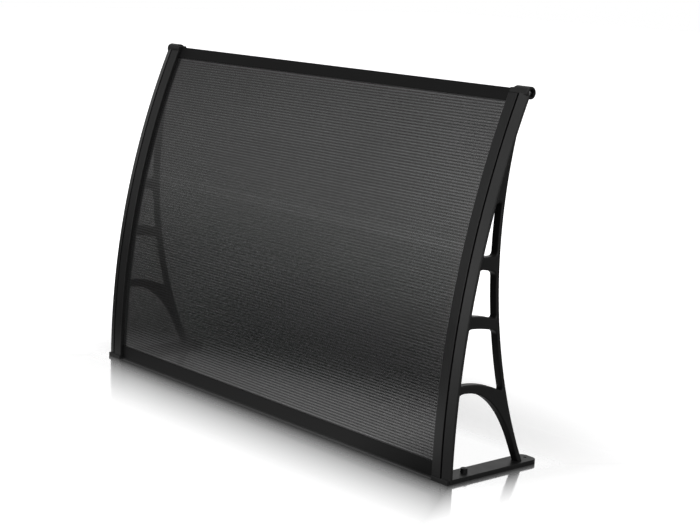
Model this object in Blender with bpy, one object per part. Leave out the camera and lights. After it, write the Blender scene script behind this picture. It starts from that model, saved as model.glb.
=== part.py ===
import math

import bmesh
import bpy
from mathutils import Matrix, Vector

# Door canopy standing on its two wall plates. Metres, +Z up, origin at the bottom centre.
# X runs along the width, the bulging front of the sheet faces -Y and the brackets' trusses face +Y.

# Whole canopy
WIDTH = 1.28
ARC_RADIUS = 1.957
ARC_CENTRE_HEIGHT = 0.0207
GAP = 0.0003

# Twin-wall sheet
SHEET_LEVEL = -0.0045
SHEET_THICKNESS = 0.006
SHEET_SKIN = 0.0007
SHEET_RIB = 0.0006
FLUTE_PITCH = 0.00645

# Side rails of the brackets
RAIL_WIDTH = 0.053
RAIL_TOP = 0.7995
BAND_WIDTH = 0.022
BAND_RISE = 0.006
BAND_EDGE = 0.005
RAIL_FOOT_INSET = 0.0125
GROOVE_WIDTH = 0.0045
SHELF_END = 0.0413
FLANGE_THICKNESS = 0.0032
RAIL_SINK = 0.006
RAIL_TIP_OVERLAP = 0.002
OUTER_ROUNDING = 0.0022
OUTER_ROUNDING_STEPS = 3
RAIL_STEPS = 30
EDGE_CHAMFER = 0.0007

# Cover strips
COVER_INNER_LEVEL = 0.0045
COVER_WALL = 0.0022
COVER_LEG = 0.0022
COVER_RIB_START = 0.0355
COVER_RIB_END = 0.0412

# Edge seals between the sheet and its clamps
SEAL_THICKNESS = 0.0012
SEAL_LEG_END = 0.0525

# Front and rear rails
FRONT_RAIL_DROP = 0.014
FRONT_RAIL_WIDTH = 0.026
REAR_RAIL_LOW = 0.0035
REAR_RAIL_WIDTH = 0.0325
RAIL_SLOT_DEPTH = 0.012
REAR_VOID_WALL = 0.0016
REAR_VOID_LENGTH = 0.008
WALL_SEAL_LOW = 0.0003
WALL_SEAL_INDENT = 0.001

# Truss plates of the brackets
WEB_INSET = 0.0135
WEB_THICKNESS = 0.0212
WEB_ROUNDING = 0.0034
WEB_FRONT_LEVEL = -0.0065
WEB_TOP_SINK = 0.0008
WEB_TOP_DROP = 0.03
WEB_SINK = 0.005
FRONT_CHORD_LEVEL = -0.0175
BACK_WAIST_HEIGHT = 0.475
BACK_WAIST_DEPTH = 0.1225
BACK_CHORD = 0.0095
LEG_CHORD = 0.0125

# Crossbar edges run level at this depth behind the rail's outer edge and fall in an arc to the back chord.
# Each edge has its height there and the radius of its arc.
CROSSBAR_LEVEL_DEPTH = 0.04
CROSSBAR_TOPS = ((0.2035, 0.24), (0.348, 0.255), (0.470, 1.5))
CROSSBAR_UNDERSIDES = ((0.3212, 0.315), (0.4453, 0.255))
ARCH_TOP = 0.1855
ARCH_SPRING = 0.04
SLIVER_WIDTH = 0.0176
SLIVER_ROOF_RADIUS = 1.5
SLIVER_FRONT_CORNER = (0.045, 0.0095)
SLIVER_BACK_CORNER = (0.007, 0.007)
CORNER_REACH = 0.011
WEB_STEPS = 24
ARCH_SIDE_STEPS = 6

# Wall plates
PLATE_LENGTH = 0.2753
PLATE_THICKNESS = 0.010
PLATE_TAIL = 0.0395
PLATE_INSET = 0.0035
PLATE_INNER_INSET = 0.0524
PLATE_LIP = 0.001
PLATE_END_RADIUS = 0.016
PLATE_END_STEPS = 6
PLATE_CHAMFER = 0.0008
SCREW_HOLE_RADIUS = 0.0034
FRONT_HOLE_DEPTH = 0.0725
REAR_HOLE_MARGIN = 0.016
BOSS_RADIUS = 0.0076
BOSS_HEIGHT = 0.0095
BOSS_SINK = 0.008

# Tips
TIP_RISE = 0.004
TIP_RADIUS = 0.0132
TIP_INSET = 0.0008
TIP_ROUNDING = 0.003
TIP_ROUNDING_STEPS = 3
TIP_STEP_INSET = 0.044
TIP_STEP_RUN = 0.003
TIP_STEP_DROP = 0.0045
TIP_BORE_RADIUS = 0.0084
TIP_BORE_DEPTH = 0.011
TIP_STEPS = 24

# Screws and washers
TIP_SCREW_RADIUS = 0.002
TIP_SCREW_GRIP = 0.014
TIP_HEAD_RADIUS = 0.0052
TIP_HEAD_HEIGHT = 0.003
WASHER_RADIUS = 0.0072
WASHER_THICKNESS = 0.001
STRIP_SCREW_RADIUS = 0.0015
STRIP_SCREW_INSET = 0.0384
STRIP_SCREW_COUNT = 6
STRIP_SCREW_MARGIN = 0.035
STRIP_SCREW_REACH = 0.0012
STRIP_HEAD_RADIUS = 0.0029
STRIP_HEAD_HEIGHT = 0.002
SOCKET_SHARE = 0.5
SOCKET_DEPTH = 0.001
HEAD_CHAMFER = 0.0007
SCREW_POINT = 0.0007
REAR_SCREW_INSET = 0.0472
REAR_SCREW_REACH = -0.0065
ROUND_STEPS = 16
HOLE_STEPS = 12
SCREW_STEPS = 10

# Heights and places worked out from the sizes above
PLATE_FRONT = -PLATE_LENGTH / 2
CROWN_FRONT = PLATE_FRONT + PLATE_LIP
EDGE_FRONT = CROWN_FRONT + BAND_RISE
FRONT_RAIL_LOW = RAIL_TOP - FRONT_RAIL_DROP
FRONT_RAIL_HIGH = FRONT_RAIL_LOW + FRONT_RAIL_WIDTH
REAR_RAIL_HIGH = REAR_RAIL_LOW + REAR_RAIL_WIDTH
TIP_HEIGHT = RAIL_TOP + TIP_RISE
LEG_FOOT = PLATE_FRONT + PLATE_LENGTH - PLATE_TAIL
LEG_SPREAD = LEG_FOOT - EDGE_FRONT - BACK_WAIST_DEPTH
LEG_HEIGHT = BACK_WAIST_HEIGHT - PLATE_THICKNESS
BACK_RADIUS = (LEG_HEIGHT**2 + LEG_SPREAD**2) / (2 * LEG_SPREAD)
ARC_CENTRE_DEPTH = EDGE_FRONT + ARC_RADIUS
SHEET_BACK_LEVEL = SHEET_LEVEL - SHEET_THICKNESS
SHEET_MIDDLE_LEVEL = SHEET_LEVEL - SHEET_THICKNESS / 2
CLAMP_FRONT_LEVEL = SHEET_LEVEL + GAP + SEAL_THICKNESS
CLAMP_BACK_LEVEL = SHEET_BACK_LEVEL - GAP - SEAL_THICKNESS
CHANNEL_FLOOR_LEVEL = CLAMP_BACK_LEVEL - GAP
FLANGE_BACK_LEVEL = CHANNEL_FLOOR_LEVEL - FLANGE_THICKNESS
COVER_START = BAND_WIDTH + GROOVE_WIDTH
SEAL_START = SHELF_END + GAP
SHEET_INSET = SEAL_START + SEAL_THICKNESS + GAP
CUT_MARGIN = 0.02
CUT_OVERLAP = 0.0006
SETTLING_ROUNDS = 8
HALVING_ROUNDS = 32
MERGE_DISTANCE = 0.000005
POINT_SPACING = 0.002

BLACK = (0.012, 0.012, 0.013, 1.0)
GLOSSY_BLACK = (0.010, 0.010, 0.011, 1.0)
SMOKE = (0.055, 0.057, 0.060, 1.0)
RUBBER = (0.008, 0.008, 0.008, 1.0)
STEEL = (0.45, 0.45, 0.46, 1.0)
BLACK_METAL = (0.018, 0.018, 0.020, 1.0)


def clear_scene():
    for item in list(bpy.data.objects):
        bpy.data.objects.remove(item, do_unlink=True)


def make_material(name, colour, roughness, metallic=0.0):
    material = bpy.data.materials.new(name)
    material.use_nodes = True
    shader = material.node_tree.nodes["Principled BSDF"]
    shader.inputs["Base Color"].default_value = colour
    shader.inputs["Roughness"].default_value = roughness
    shader.inputs["Metallic"].default_value = metallic
    return material


# Places on the canopy's arc

def arc_point(angle, level):
    """Depth and height of a point at this angle, level metres in front of the rails' outer edge."""
    radius = ARC_RADIUS + level
    depth = ARC_CENTRE_DEPTH - radius * math.cos(angle)
    return depth, ARC_CENTRE_HEIGHT + radius * math.sin(angle)


def arc_angle(height, level=0.0):
    return math.asin((height - ARC_CENTRE_HEIGHT) / (ARC_RADIUS + level))


def arc_frame(x, angle, level):
    """Matrix whose Z axis points out of the arc's front and whose Y axis runs up along it."""
    depth, height = arc_point(angle, level)
    outward = Vector((0.0, -math.cos(angle), math.sin(angle)))
    along = Vector((0.0, math.sin(angle), math.cos(angle)))
    frame = Matrix((along.cross(outward), along, outward)).transposed().to_4x4()
    frame.translation = (x, depth, height)
    return frame


def inset_x(inset):
    return WIDTH / 2 - inset


# Meshes

def mesh_object(name, mesh, material=None):
    item = bpy.data.objects.new(name, mesh)
    bpy.context.collection.objects.link(item)
    if material:
        mesh.materials.append(material)
    return item


def finish_mesh(shape, name):
    bmesh.ops.recalc_face_normals(shape, faces=shape.faces)
    if shape.calc_volume(signed=True) < 0:
        bmesh.ops.reverse_faces(shape, faces=shape.faces)
    mesh = bpy.data.meshes.new(name)
    shape.to_mesh(mesh)
    shape.free()
    return mesh


def swept_section(name, section, angles):
    """Closed solid of a section of (inset, level) points, carried along the arc."""
    shape = bmesh.new()
    rings = []
    for angle in angles:
        ring = []
        for inset, level in section:
            depth, height = arc_point(angle, level)
            ring.append(shape.verts.new((inset_x(inset), depth, height)))
        rings.append(ring)
    count = len(section)
    for low, high in zip(rings, rings[1:]):
        for k in range(count):
            after = (k + 1) % count
            shape.faces.new((low[k], low[after], high[after], high[k]))
    shape.faces.new(rings[0])
    shape.faces.new(rings[-1])
    return finish_mesh(shape, name)


def spread(start, end, steps):
    return [start + (end - start) * k / steps for k in range(steps + 1)]


def flat_plate(name, loops, thickness, rounding, rounding_steps):
    """Plate with rounded rims from closed (depth, height) outlines, its middle plane at x = 0."""
    curve = bpy.data.curves.new(name, "CURVE")
    curve.dimensions = "2D"
    curve.fill_mode = "BOTH"
    curve.extrude = thickness / 2 - rounding
    curve.bevel_depth = rounding
    curve.bevel_resolution = rounding_steps
    curve.offset = -rounding
    for loop in loops:
        spline = curve.splines.new("POLY")
        spline.points.add(len(loop) - 1)
        for point, (depth, height) in zip(spline.points, loop):
            point.co = (depth, height, 0.0, 1.0)
        spline.use_cyclic_u = True
    holder = mesh_object_from_curve(name, curve)
    shape = bmesh.new()
    shape.from_mesh(holder)
    bpy.data.meshes.remove(holder)
    bmesh.ops.remove_doubles(shape, verts=shape.verts, dist=MERGE_DISTANCE)
    turn = Matrix(((0, 0, 1, 0), (1, 0, 0, 0), (0, 1, 0, 0), (0, 0, 0, 1)))
    shape.transform(turn)
    return finish_mesh(shape, name)


def mesh_object_from_curve(name, curve):
    """Mesh of a curve, made by way of an object that is then removed."""
    item = bpy.data.objects.new(name, curve)
    bpy.context.collection.objects.link(item)
    bpy.context.view_layer.update()
    evaluated = item.evaluated_get(bpy.context.evaluated_depsgraph_get())
    mesh = bpy.data.meshes.new_from_object(evaluated)
    bpy.data.objects.remove(item, do_unlink=True)
    bpy.data.curves.remove(curve)
    return mesh


def rod(name, radius, start, end, steps=ROUND_STEPS):
    """Cylinder between two points."""
    start, end = Vector(start), Vector(end)
    axis = end - start
    shape = bmesh.new()
    turn = axis.to_track_quat("Z", "Y").to_matrix().to_4x4()
    turn.translation = (start + end) / 2
    bmesh.ops.create_cone(
        shape, cap_ends=True, segments=steps, radius1=radius, radius2=radius, depth=axis.length, matrix=turn
    )
    return finish_mesh(shape, name)


def block(name, low, high):
    shape = bmesh.new()
    size = Vector(high) - Vector(low)
    middle = (Vector(high) + Vector(low)) / 2
    bmesh.ops.create_cube(shape, size=1.0, matrix=Matrix.Translation(middle) @ Matrix.Diagonal((*size, 1.0)))
    return finish_mesh(shape, name)


def combine(target, mesh, operation):
    """Joins a mesh to the target, or cuts it out, and keeps the result as the target's own mesh."""
    helper = mesh_object(mesh.name + "_helper", mesh)
    helper.hide_render = True
    helper.display_type = "WIRE"
    boolean = target.modifiers.new(operation, "BOOLEAN")
    boolean.operation = operation
    boolean.solver = "EXACT"
    boolean.object = helper
    bpy.context.view_layer.update()
    evaluated = target.evaluated_get(bpy.context.evaluated_depsgraph_get())
    result = bpy.data.meshes.new_from_object(evaluated)
    old = target.data
    target.modifiers.clear()
    target.data = result
    bpy.data.objects.remove(helper, do_unlink=True)
    bpy.data.meshes.remove(mesh)
    bpy.data.meshes.remove(old)


def turned(name, profile, steps, frame):
    """Solid turned about the frame's Z axis from a profile of (radius, height) points, with flat ends."""
    shape = bmesh.new()
    points = [shape.verts.new((radius, 0.0, height)) for radius, height in profile]
    edges = [shape.edges.new(pair) for pair in zip(points, points[1:])]
    bmesh.ops.spin(
        shape, geom=points + edges, cent=(0, 0, 0), axis=(0, 0, 1), angle=math.tau, steps=steps,
        use_merge=True,
    )
    bmesh.ops.holes_fill(shape, edges=[edge for edge in shape.edges if edge.is_boundary])
    shape.transform(frame)
    return finish_mesh(shape, name)


def turned_screw(name, head_radius, head_height, shank_radius, shank_length, frame):
    """Screw with its head below z = 0, a round socket in the head, and its shank above."""
    socket = head_radius * SOCKET_SHARE
    profile = (
        (socket, SOCKET_DEPTH - head_height), (socket, -head_height),
        (head_radius - HEAD_CHAMFER, -head_height), (head_radius, HEAD_CHAMFER - head_height),
        (head_radius, 0.0), (shank_radius, 0.0),
        (shank_radius, shank_length - SCREW_POINT), (shank_radius - SCREW_POINT, shank_length),
    )
    return turned(name, profile, SCREW_STEPS, frame)


def extruded(name, outline, reach):
    """Closed solid of a flat outline, carried along a vector."""
    shape = bmesh.new()
    near = [shape.verts.new(point) for point in outline]
    far = [shape.verts.new(Vector(point) + Vector(reach)) for point in outline]
    for k in range(len(outline)):
        shape.faces.new((near[k - 1], near[k], far[k], far[k - 1]))
    shape.faces.new(near)
    shape.faces.new(far)
    return finish_mesh(shape, name)


def mirrored(name, source):
    """Left-hand copy of a right-hand piece."""
    shape = bmesh.new()
    shape.from_mesh(source.data)
    shape.transform(Matrix.Diagonal((-1.0, 1.0, 1.0, 1.0)))
    bmesh.ops.reverse_faces(shape, faces=shape.faces)
    mesh = bpy.data.meshes.new(name)
    shape.to_mesh(mesh)
    shape.free()
    return mesh


def shade(item, degrees=35.0):
    item.data.shade_smooth()
    item.data.set_sharp_from_angle(angle=math.radians(degrees))


# Side rail, cover strip and edge seal sections

def crown_level(inset):
    """Level of the rail's visible crown, which rises over the band and falls over the cover."""
    if inset <= BAND_WIDTH:
        return BAND_RISE * inset / BAND_WIDTH
    share = (inset - COVER_START) / (RAIL_WIDTH - COVER_START)
    return BAND_RISE + (COVER_INNER_LEVEL - BAND_RISE) * share


def outer_rim():
    """Rounded rim between the rail's outer side and its crown."""
    points = []
    for turn in spread(0.0, math.pi / 2, OUTER_ROUNDING_STEPS):
        inset = OUTER_ROUNDING * (1 - math.cos(turn))
        points.append((inset, crown_level(inset) - OUTER_ROUNDING * (1 - math.sin(turn))))
    return points


def bracket_rail_section():
    chamfer = EDGE_CHAMFER
    return (
        (0.0, -BAND_EDGE), *outer_rim(),
        (BAND_WIDTH - chamfer, crown_level(BAND_WIDTH - chamfer)), (BAND_WIDTH, BAND_RISE - chamfer),
        (BAND_WIDTH, SHEET_LEVEL), (SHELF_END, SHEET_LEVEL), (SHELF_END, CHANNEL_FLOOR_LEVEL),
        (RAIL_WIDTH, CHANNEL_FLOOR_LEVEL), (RAIL_WIDTH, FLANGE_BACK_LEVEL),
        (RAIL_FOOT_INSET, FLANGE_BACK_LEVEL), (RAIL_FOOT_INSET, -BAND_EDGE),
    )


def cover_section():
    chamfer = EDGE_CHAMFER
    foot = SHEET_LEVEL + GAP
    heel = CLAMP_FRONT_LEVEL + GAP
    leg = COVER_START + COVER_LEG
    toe = RAIL_WIDTH - COVER_LEG
    return (
        (COVER_START, foot), (COVER_START, BAND_RISE - chamfer),
        (COVER_START + chamfer, crown_level(COVER_START + chamfer)),
        (RAIL_WIDTH - chamfer, crown_level(RAIL_WIDTH - chamfer)), (RAIL_WIDTH, COVER_INNER_LEVEL - chamfer),
        (RAIL_WIDTH, heel), (toe, heel), (toe, crown_level(toe) - COVER_WALL),
        (COVER_RIB_END, crown_level(COVER_RIB_END) - COVER_WALL), (COVER_RIB_END, foot),
        (COVER_RIB_START, foot), (COVER_RIB_START, crown_level(COVER_RIB_START) - COVER_WALL),
        (leg, crown_level(leg) - COVER_WALL), (leg, foot),
    )


def seal_section():
    front = CLAMP_FRONT_LEVEL
    back = CLAMP_BACK_LEVEL
    web = SEAL_START + SEAL_THICKNESS
    return (
        (SEAL_START, back), (SEAL_LEG_END, back), (SEAL_LEG_END, back + SEAL_THICKNESS),
        (web, back + SEAL_THICKNESS), (web, front - SEAL_THICKNESS), (SEAL_LEG_END, front - SEAL_THICKNESS),
        (SEAL_LEG_END, front), (SEAL_START, front),
    )


# Front and rear rails

def rail_frame(low, high):
    """Angle at a rail's middle and its half height along the arc."""
    first = arc_angle(low)
    last = arc_angle(high)
    return (first + last) / 2, (ARC_RADIUS + SHEET_MIDDLE_LEVEL) * (last - first) / 2


def rail_point(angle, along, level):
    depth, height = arc_point(angle, level)
    return depth + along * math.sin(angle), height + along * math.cos(angle)


def rail_outline(angle, half, slot_sign):
    """Channel around the sheet's edge. The slot opens towards slot_sign along the arc."""
    chamfer = EDGE_CHAMFER
    back = CLAMP_BACK_LEVEL
    front = CLAMP_FRONT_LEVEL
    slot = half - RAIL_SLOT_DEPTH
    points = (
        (-half, back + chamfer), (-half, front - chamfer), (-half + chamfer, front), (half, front),
        (half, front - SEAL_THICKNESS), (slot, front - SEAL_THICKNESS), (slot, back + SEAL_THICKNESS),
        (half, back + SEAL_THICKNESS), (half, back), (-half + chamfer, back),
    )
    return [rail_point(angle, slot_sign * along, level) for along, level in points]


def circle_points(centre, radius, steps=ROUND_STEPS):
    turns = [math.tau * k / steps for k in range(steps)]
    return [(centre[0] + radius * math.cos(t), centre[1] + radius * math.sin(t)) for t in turns]


def prism(name, loops, length):
    """Straight extrusion along X, centred on x = 0."""
    return flat_plate(name, loops, length, 0.0, 0)


def tip_centre():
    return arc_point(arc_angle(TIP_HEIGHT, SHEET_MIDDLE_LEVEL), SHEET_MIDDLE_LEVEL)


def build_front_rail(material):
    angle, half = rail_frame(FRONT_RAIL_LOW, FRONT_RAIL_HIGH)
    bore = circle_points(tip_centre(), TIP_SCREW_RADIUS + GAP)
    length = WIDTH - 2 * SEAL_START
    mesh = prism("front_rail", [rail_outline(angle, half, -1), bore], length)
    return mesh_object("front_rail", mesh, material)


def build_rear_rail(material):
    angle, half = rail_frame(REAR_RAIL_LOW, REAR_RAIL_HIGH)
    wall = REAR_VOID_WALL
    low, high = -half + wall, -half + wall + REAR_VOID_LENGTH
    corners = (
        (low, CLAMP_BACK_LEVEL + wall), (low, CLAMP_FRONT_LEVEL - wall),
        (high, CLAMP_FRONT_LEVEL - wall), (high, CLAMP_BACK_LEVEL + wall),
    )
    void = [rail_point(angle, along, level) for along, level in corners]
    length = WIDTH - 2 * SEAL_START
    mesh = prism("rear_rail", [rail_outline(angle, half, 1), void], length)
    rail = mesh_object("rear_rail", mesh, material)
    for side in (1, -1):
        frame = arc_frame(side * inset_x(REAR_SCREW_INSET), rear_screw_angle(), 0.0)
        start = frame @ Vector((0, 0, CLAMP_BACK_LEVEL - CUT_MARGIN))
        end = frame @ Vector((0, 0, REAR_SCREW_REACH + GAP))
        combine(rail, rod("screw_hole", STRIP_SCREW_RADIUS + GAP, start, end), "DIFFERENCE")
    return rail


def rear_screw_angle():
    """The rear rail's screws sit in its solid part, between the void and the slot."""
    angle, half = rail_frame(REAR_RAIL_LOW, REAR_RAIL_HIGH)
    low = -half + REAR_VOID_WALL + REAR_VOID_LENGTH
    high = half - RAIL_SLOT_DEPTH
    return angle + (low + high) / 2 / ARC_RADIUS


def build_wall_seal(material):
    front = arc_point(0.0, CLAMP_FRONT_LEVEL)[0] + WALL_SEAL_INDENT
    back = arc_point(0.0, CLAMP_BACK_LEVEL)[0] - WALL_SEAL_INDENT
    end = inset_x(RAIL_WIDTH + GAP)
    mesh = block("rear_wall_seal", (-end, front, WALL_SEAL_LOW), (end, back, REAR_RAIL_LOW - GAP))
    return mesh_object("rear_wall_seal", mesh, material)


def slot_end_angle(low, high, sign):
    """Angle of the slot floor, less the gap, where the sheet's edge stops."""
    angle, half = rail_frame(low, high)
    return angle + sign * (half - RAIL_SLOT_DEPTH + GAP) / (ARC_RADIUS + SHEET_BACK_LEVEL)


def build_sheet(material):
    """Twin-wall sheet: two skins, and a rib every flute, with open cells between them."""
    start = slot_end_angle(REAR_RAIL_LOW, REAR_RAIL_HIGH, 1)
    end = slot_end_angle(FRONT_RAIL_LOW, FRONT_RAIL_HIGH, -1)
    radius = ARC_RADIUS + SHEET_MIDDLE_LEVEL
    cells = int((end - start) * radius / FLUTE_PITCH)
    pitch = (end - start - SHEET_RIB / radius) / cells
    rib = SHEET_RIB / radius
    angles = []
    for k in range(cells + 1):
        angles += [start + k * pitch, start + k * pitch + rib]
    levels = (SHEET_LEVEL, SHEET_LEVEL - SHEET_SKIN, SHEET_BACK_LEVEL + SHEET_SKIN, SHEET_BACK_LEVEL)
    reach = inset_x(SHEET_INSET)
    shape = bmesh.new()
    sides = []
    for x in (reach, -reach):
        rows = []
        for angle in angles:
            rows.append([shape.verts.new((x, *arc_point(angle, level))) for level in levels])
        sides.append(rows)
    last = len(angles) - 1
    for rows in sides:
        for k in range(last):
            layers = (0, 1, 2) if k % 2 == 0 else (0, 2)
            for layer in layers:
                low, high = rows[k], rows[k + 1]
                shape.faces.new((low[layer], low[layer + 1], high[layer + 1], high[layer]))
    right, left = sides

    def wall(k, layer, k_next, layer_next):
        corners = (right[k][layer], right[k_next][layer_next], left[k_next][layer_next], left[k][layer])
        shape.faces.new(corners)

    for k in range(last):
        wall(k, 0, k + 1, 0)
        wall(k, 3, k + 1, 3)
        if k % 2:
            wall(k, 1, k + 1, 1)
            wall(k, 2, k + 1, 2)
            wall(k, 1, k, 2)
            wall(k + 1, 1, k + 1, 2)
    for k in (0, last):
        for layer in range(3):
            wall(k, layer, k, layer + 1)
    return mesh_object("canopy_sheet", finish_mesh(shape, "canopy_sheet"), material)


# Bracket

def back_depth(height, chord=0.0):
    """Depth of the truss's back edge, an arc with its waist nearest the sheet, less a chord."""
    radius = BACK_RADIUS + chord
    drop = math.sqrt(radius**2 - (height - BACK_WAIST_HEIGHT) ** 2)
    return EDGE_FRONT + BACK_WAIST_DEPTH + BACK_RADIUS - drop


def front_depth(height, level):
    return arc_point(arc_angle(height, level), level)[0]


def height_of_width(width, chord, level, low, high):
    """Height between two limits where the back chord's edge is this far behind the front level."""
    for _ in range(HALVING_ROUNDS):
        middle = (low + high) / 2
        if back_depth(middle, chord) - front_depth(middle, level) > width:
            low = middle
        else:
            high = middle
    return low


def web_top():
    """Height where the truss's back edge runs into the rail, kept below the tip."""
    level = FLANGE_BACK_LEVEL + WEB_TOP_SINK
    return height_of_width(0.0, 0.0, level, CROSSBAR_TOPS[-1][0], RAIL_TOP - WEB_TOP_DROP)


def sliver_top():
    """Height where the highest opening has narrowed to the width of its roof."""
    return height_of_width(SLIVER_WIDTH, BACK_CHORD, FRONT_CHORD_LEVEL, CROSSBAR_TOPS[-1][0], web_top())


def web_outline():
    """Edge of the truss plate: up behind the rail, down the back chord and around the arch at the foot."""
    low = PLATE_THICKNESS - WEB_SINK
    top = web_top()
    front = [(front_depth(h, WEB_FRONT_LEVEL), h) for h in spread(low, top, WEB_STEPS)]
    back = [(back_depth(h), h) for h in spread(top, low, WEB_STEPS)]
    return front + back + arch_outline(low)


def rounded_outline(sides, corners):
    """Closes four open sides into one outline. Each corner has its reach on the side before and after it."""
    trimmed = []
    for number, side in enumerate(sides):
        trimmed.append(trim(side, corners[number - 1][1], corners[number][0]))
    outline = []
    for number, side in enumerate(trimmed):
        following = trimmed[(number + 1) % len(trimmed)]
        corner = sides[number][-1]
        outline += side
        outline += corner_arc(side[-1], corner, following[0])
    return outline


def trim(side, start_cut, end_cut):
    """Part of a polyline that is left when a length is cut from each end."""
    lengths = [0.0]
    for (y0, z0), (y1, z1) in zip(side, side[1:]):
        lengths.append(lengths[-1] + math.hypot(y1 - y0, z1 - z0))

    def place(distance):
        for k in range(len(side) - 1):
            if distance <= lengths[k + 1] or k == len(side) - 2:
                share = (distance - lengths[k]) / (lengths[k + 1] - lengths[k])
                (y0, z0), (y1, z1) = side[k], side[k + 1]
                return (y0 + (y1 - y0) * share, z0 + (z1 - z0) * share)

    first, last = start_cut, lengths[-1] - end_cut
    kept = [point for point, at in zip(side, lengths) if first + POINT_SPACING < at < last - POINT_SPACING]
    return [place(first), *kept, place(last)]


def corner_arc(start, corner, end, steps=4):
    points = []
    for k in range(1, steps):
        t = k / steps
        weights = ((1 - t) ** 2, 2 * t * (1 - t), t**2)
        depth = sum(w * p[0] for w, p in zip(weights, (start, corner, end)))
        height = sum(w * p[1] for w, p in zip(weights, (start, corner, end)))
        points.append((depth, height))
    return points


def bar_edge(height, radius, steps=6):
    """Edge of a crossbar, from the front chord to the back chord."""
    level_depth = EDGE_FRONT + CROSSBAR_LEVEL_DEPTH

    def fallen(depth):
        behind = max(depth - level_depth, 0.0)
        return height - radius + math.sqrt(radius**2 - behind**2)

    end = back_depth(height, BACK_CHORD)
    for _ in range(SETTLING_ROUNDS):
        end = back_depth(fallen(end), BACK_CHORD)
    return [(depth, fallen(depth)) for depth in spread(front_depth(height, FRONT_CHORD_LEVEL), end, steps)]


def opening_outline(lower_edge, upper_edge, corners, steps=8):
    """Opening between two crossbars, from the front chord to the back chord."""
    floor = bar_edge(*lower_edge)[::-1]
    roof = bar_edge(*upper_edge)
    rising = [(front_depth(h, FRONT_CHORD_LEVEL), h) for h in spread(floor[-1][1], roof[0][1], steps)]
    falling = [(back_depth(h, BACK_CHORD), h) for h in spread(roof[-1][1], floor[0][1], steps)]
    return rounded_outline((rising, roof, falling, floor), corners)


def arch_outline(low, steps=12):
    """Opening above the wall plate. Its roof starts level and runs out along the leg's inner side."""
    radius = BACK_RADIUS + LEG_CHORD
    drop = BACK_WAIST_HEIGHT - ARCH_SPRING
    slope = drop / math.sqrt(radius**2 - drop**2)
    crown = (EDGE_FRONT + CROSSBAR_LEVEL_DEPTH, ARCH_TOP)
    foot = (back_depth(ARCH_SPRING, LEG_CHORD), ARCH_SPRING)
    meeting = (foot[0] - slope * (ARCH_TOP - ARCH_SPRING), ARCH_TOP)
    rises = spread(low, ARCH_TOP - CORNER_REACH, ARCH_SIDE_STEPS)
    front = [(front_depth(h, FRONT_CHORD_LEVEL), h) for h in rises]
    front_corner = (front_depth(ARCH_TOP, FRONT_CHORD_LEVEL), ARCH_TOP)
    first = corner_arc(front[-1], front_corner, crown)
    roof = corner_arc(crown, meeting, foot, steps)
    return (front + first + [crown] + roof + [foot, (back_depth(low, LEG_CHORD), low)])[::-1]


def build_web():
    corner = (CORNER_REACH, CORNER_REACH)
    loops = [web_outline()]
    for floor, roof in zip(CROSSBAR_TOPS, CROSSBAR_UNDERSIDES):
        loops.append(opening_outline(floor, roof, (corner, corner, corner, corner)))
    sliver_corners = (SLIVER_FRONT_CORNER, SLIVER_BACK_CORNER, corner, corner)
    loops.append(opening_outline(CROSSBAR_TOPS[-1], (sliver_top(), SLIVER_ROOF_RADIUS), sliver_corners))
    mesh = flat_plate("web", loops, WEB_THICKNESS, WEB_ROUNDING, 1)
    mesh.transform(Matrix.Translation((inset_x(WEB_INSET + WEB_THICKNESS / 2), 0, 0)))
    return mesh


def plate_outline():
    """Wall plate seen from above: straight front, round corners at the far end."""
    radius = PLATE_END_RADIUS
    outer, inner = inset_x(PLATE_INSET), inset_x(PLATE_INNER_INSET)
    far = PLATE_FRONT + PLATE_LENGTH
    points = [(inner, PLATE_FRONT), (outer, PLATE_FRONT)]
    for turn in spread(0.0, math.pi / 2, PLATE_END_STEPS):
        points.append((outer - radius + radius * math.cos(turn), far - radius + radius * math.sin(turn)))
    for turn in spread(math.pi / 2, math.pi, PLATE_END_STEPS):
        points.append((inner + radius + radius * math.cos(turn), far - radius + radius * math.sin(turn)))
    return points


def build_plate():
    shape = bmesh.new()
    outline = [shape.verts.new((x, y, 0.0)) for x, y in plate_outline()]
    face = shape.faces.new(outline)
    lifted = bmesh.ops.extrude_face_region(shape, geom=[face])["geom"]
    top = [item for item in lifted if isinstance(item, bmesh.types.BMVert)]
    bmesh.ops.translate(shape, verts=top, vec=(0, 0, PLATE_THICKNESS))
    rim = [edge for edge in shape.edges if all(v.co.z > PLATE_THICKNESS / 2 for v in edge.verts)]
    bmesh.ops.bevel(shape, geom=rim, offset=PLATE_CHAMFER, segments=1, affect="EDGES")
    return finish_mesh(shape, "plate")


def plate_holes():
    middle = inset_x((PLATE_INSET + PLATE_INNER_INSET) / 2)
    return (middle, PLATE_FRONT + FRONT_HOLE_DEPTH), (middle, PLATE_FRONT + PLATE_LENGTH - REAR_HOLE_MARGIN)


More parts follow.
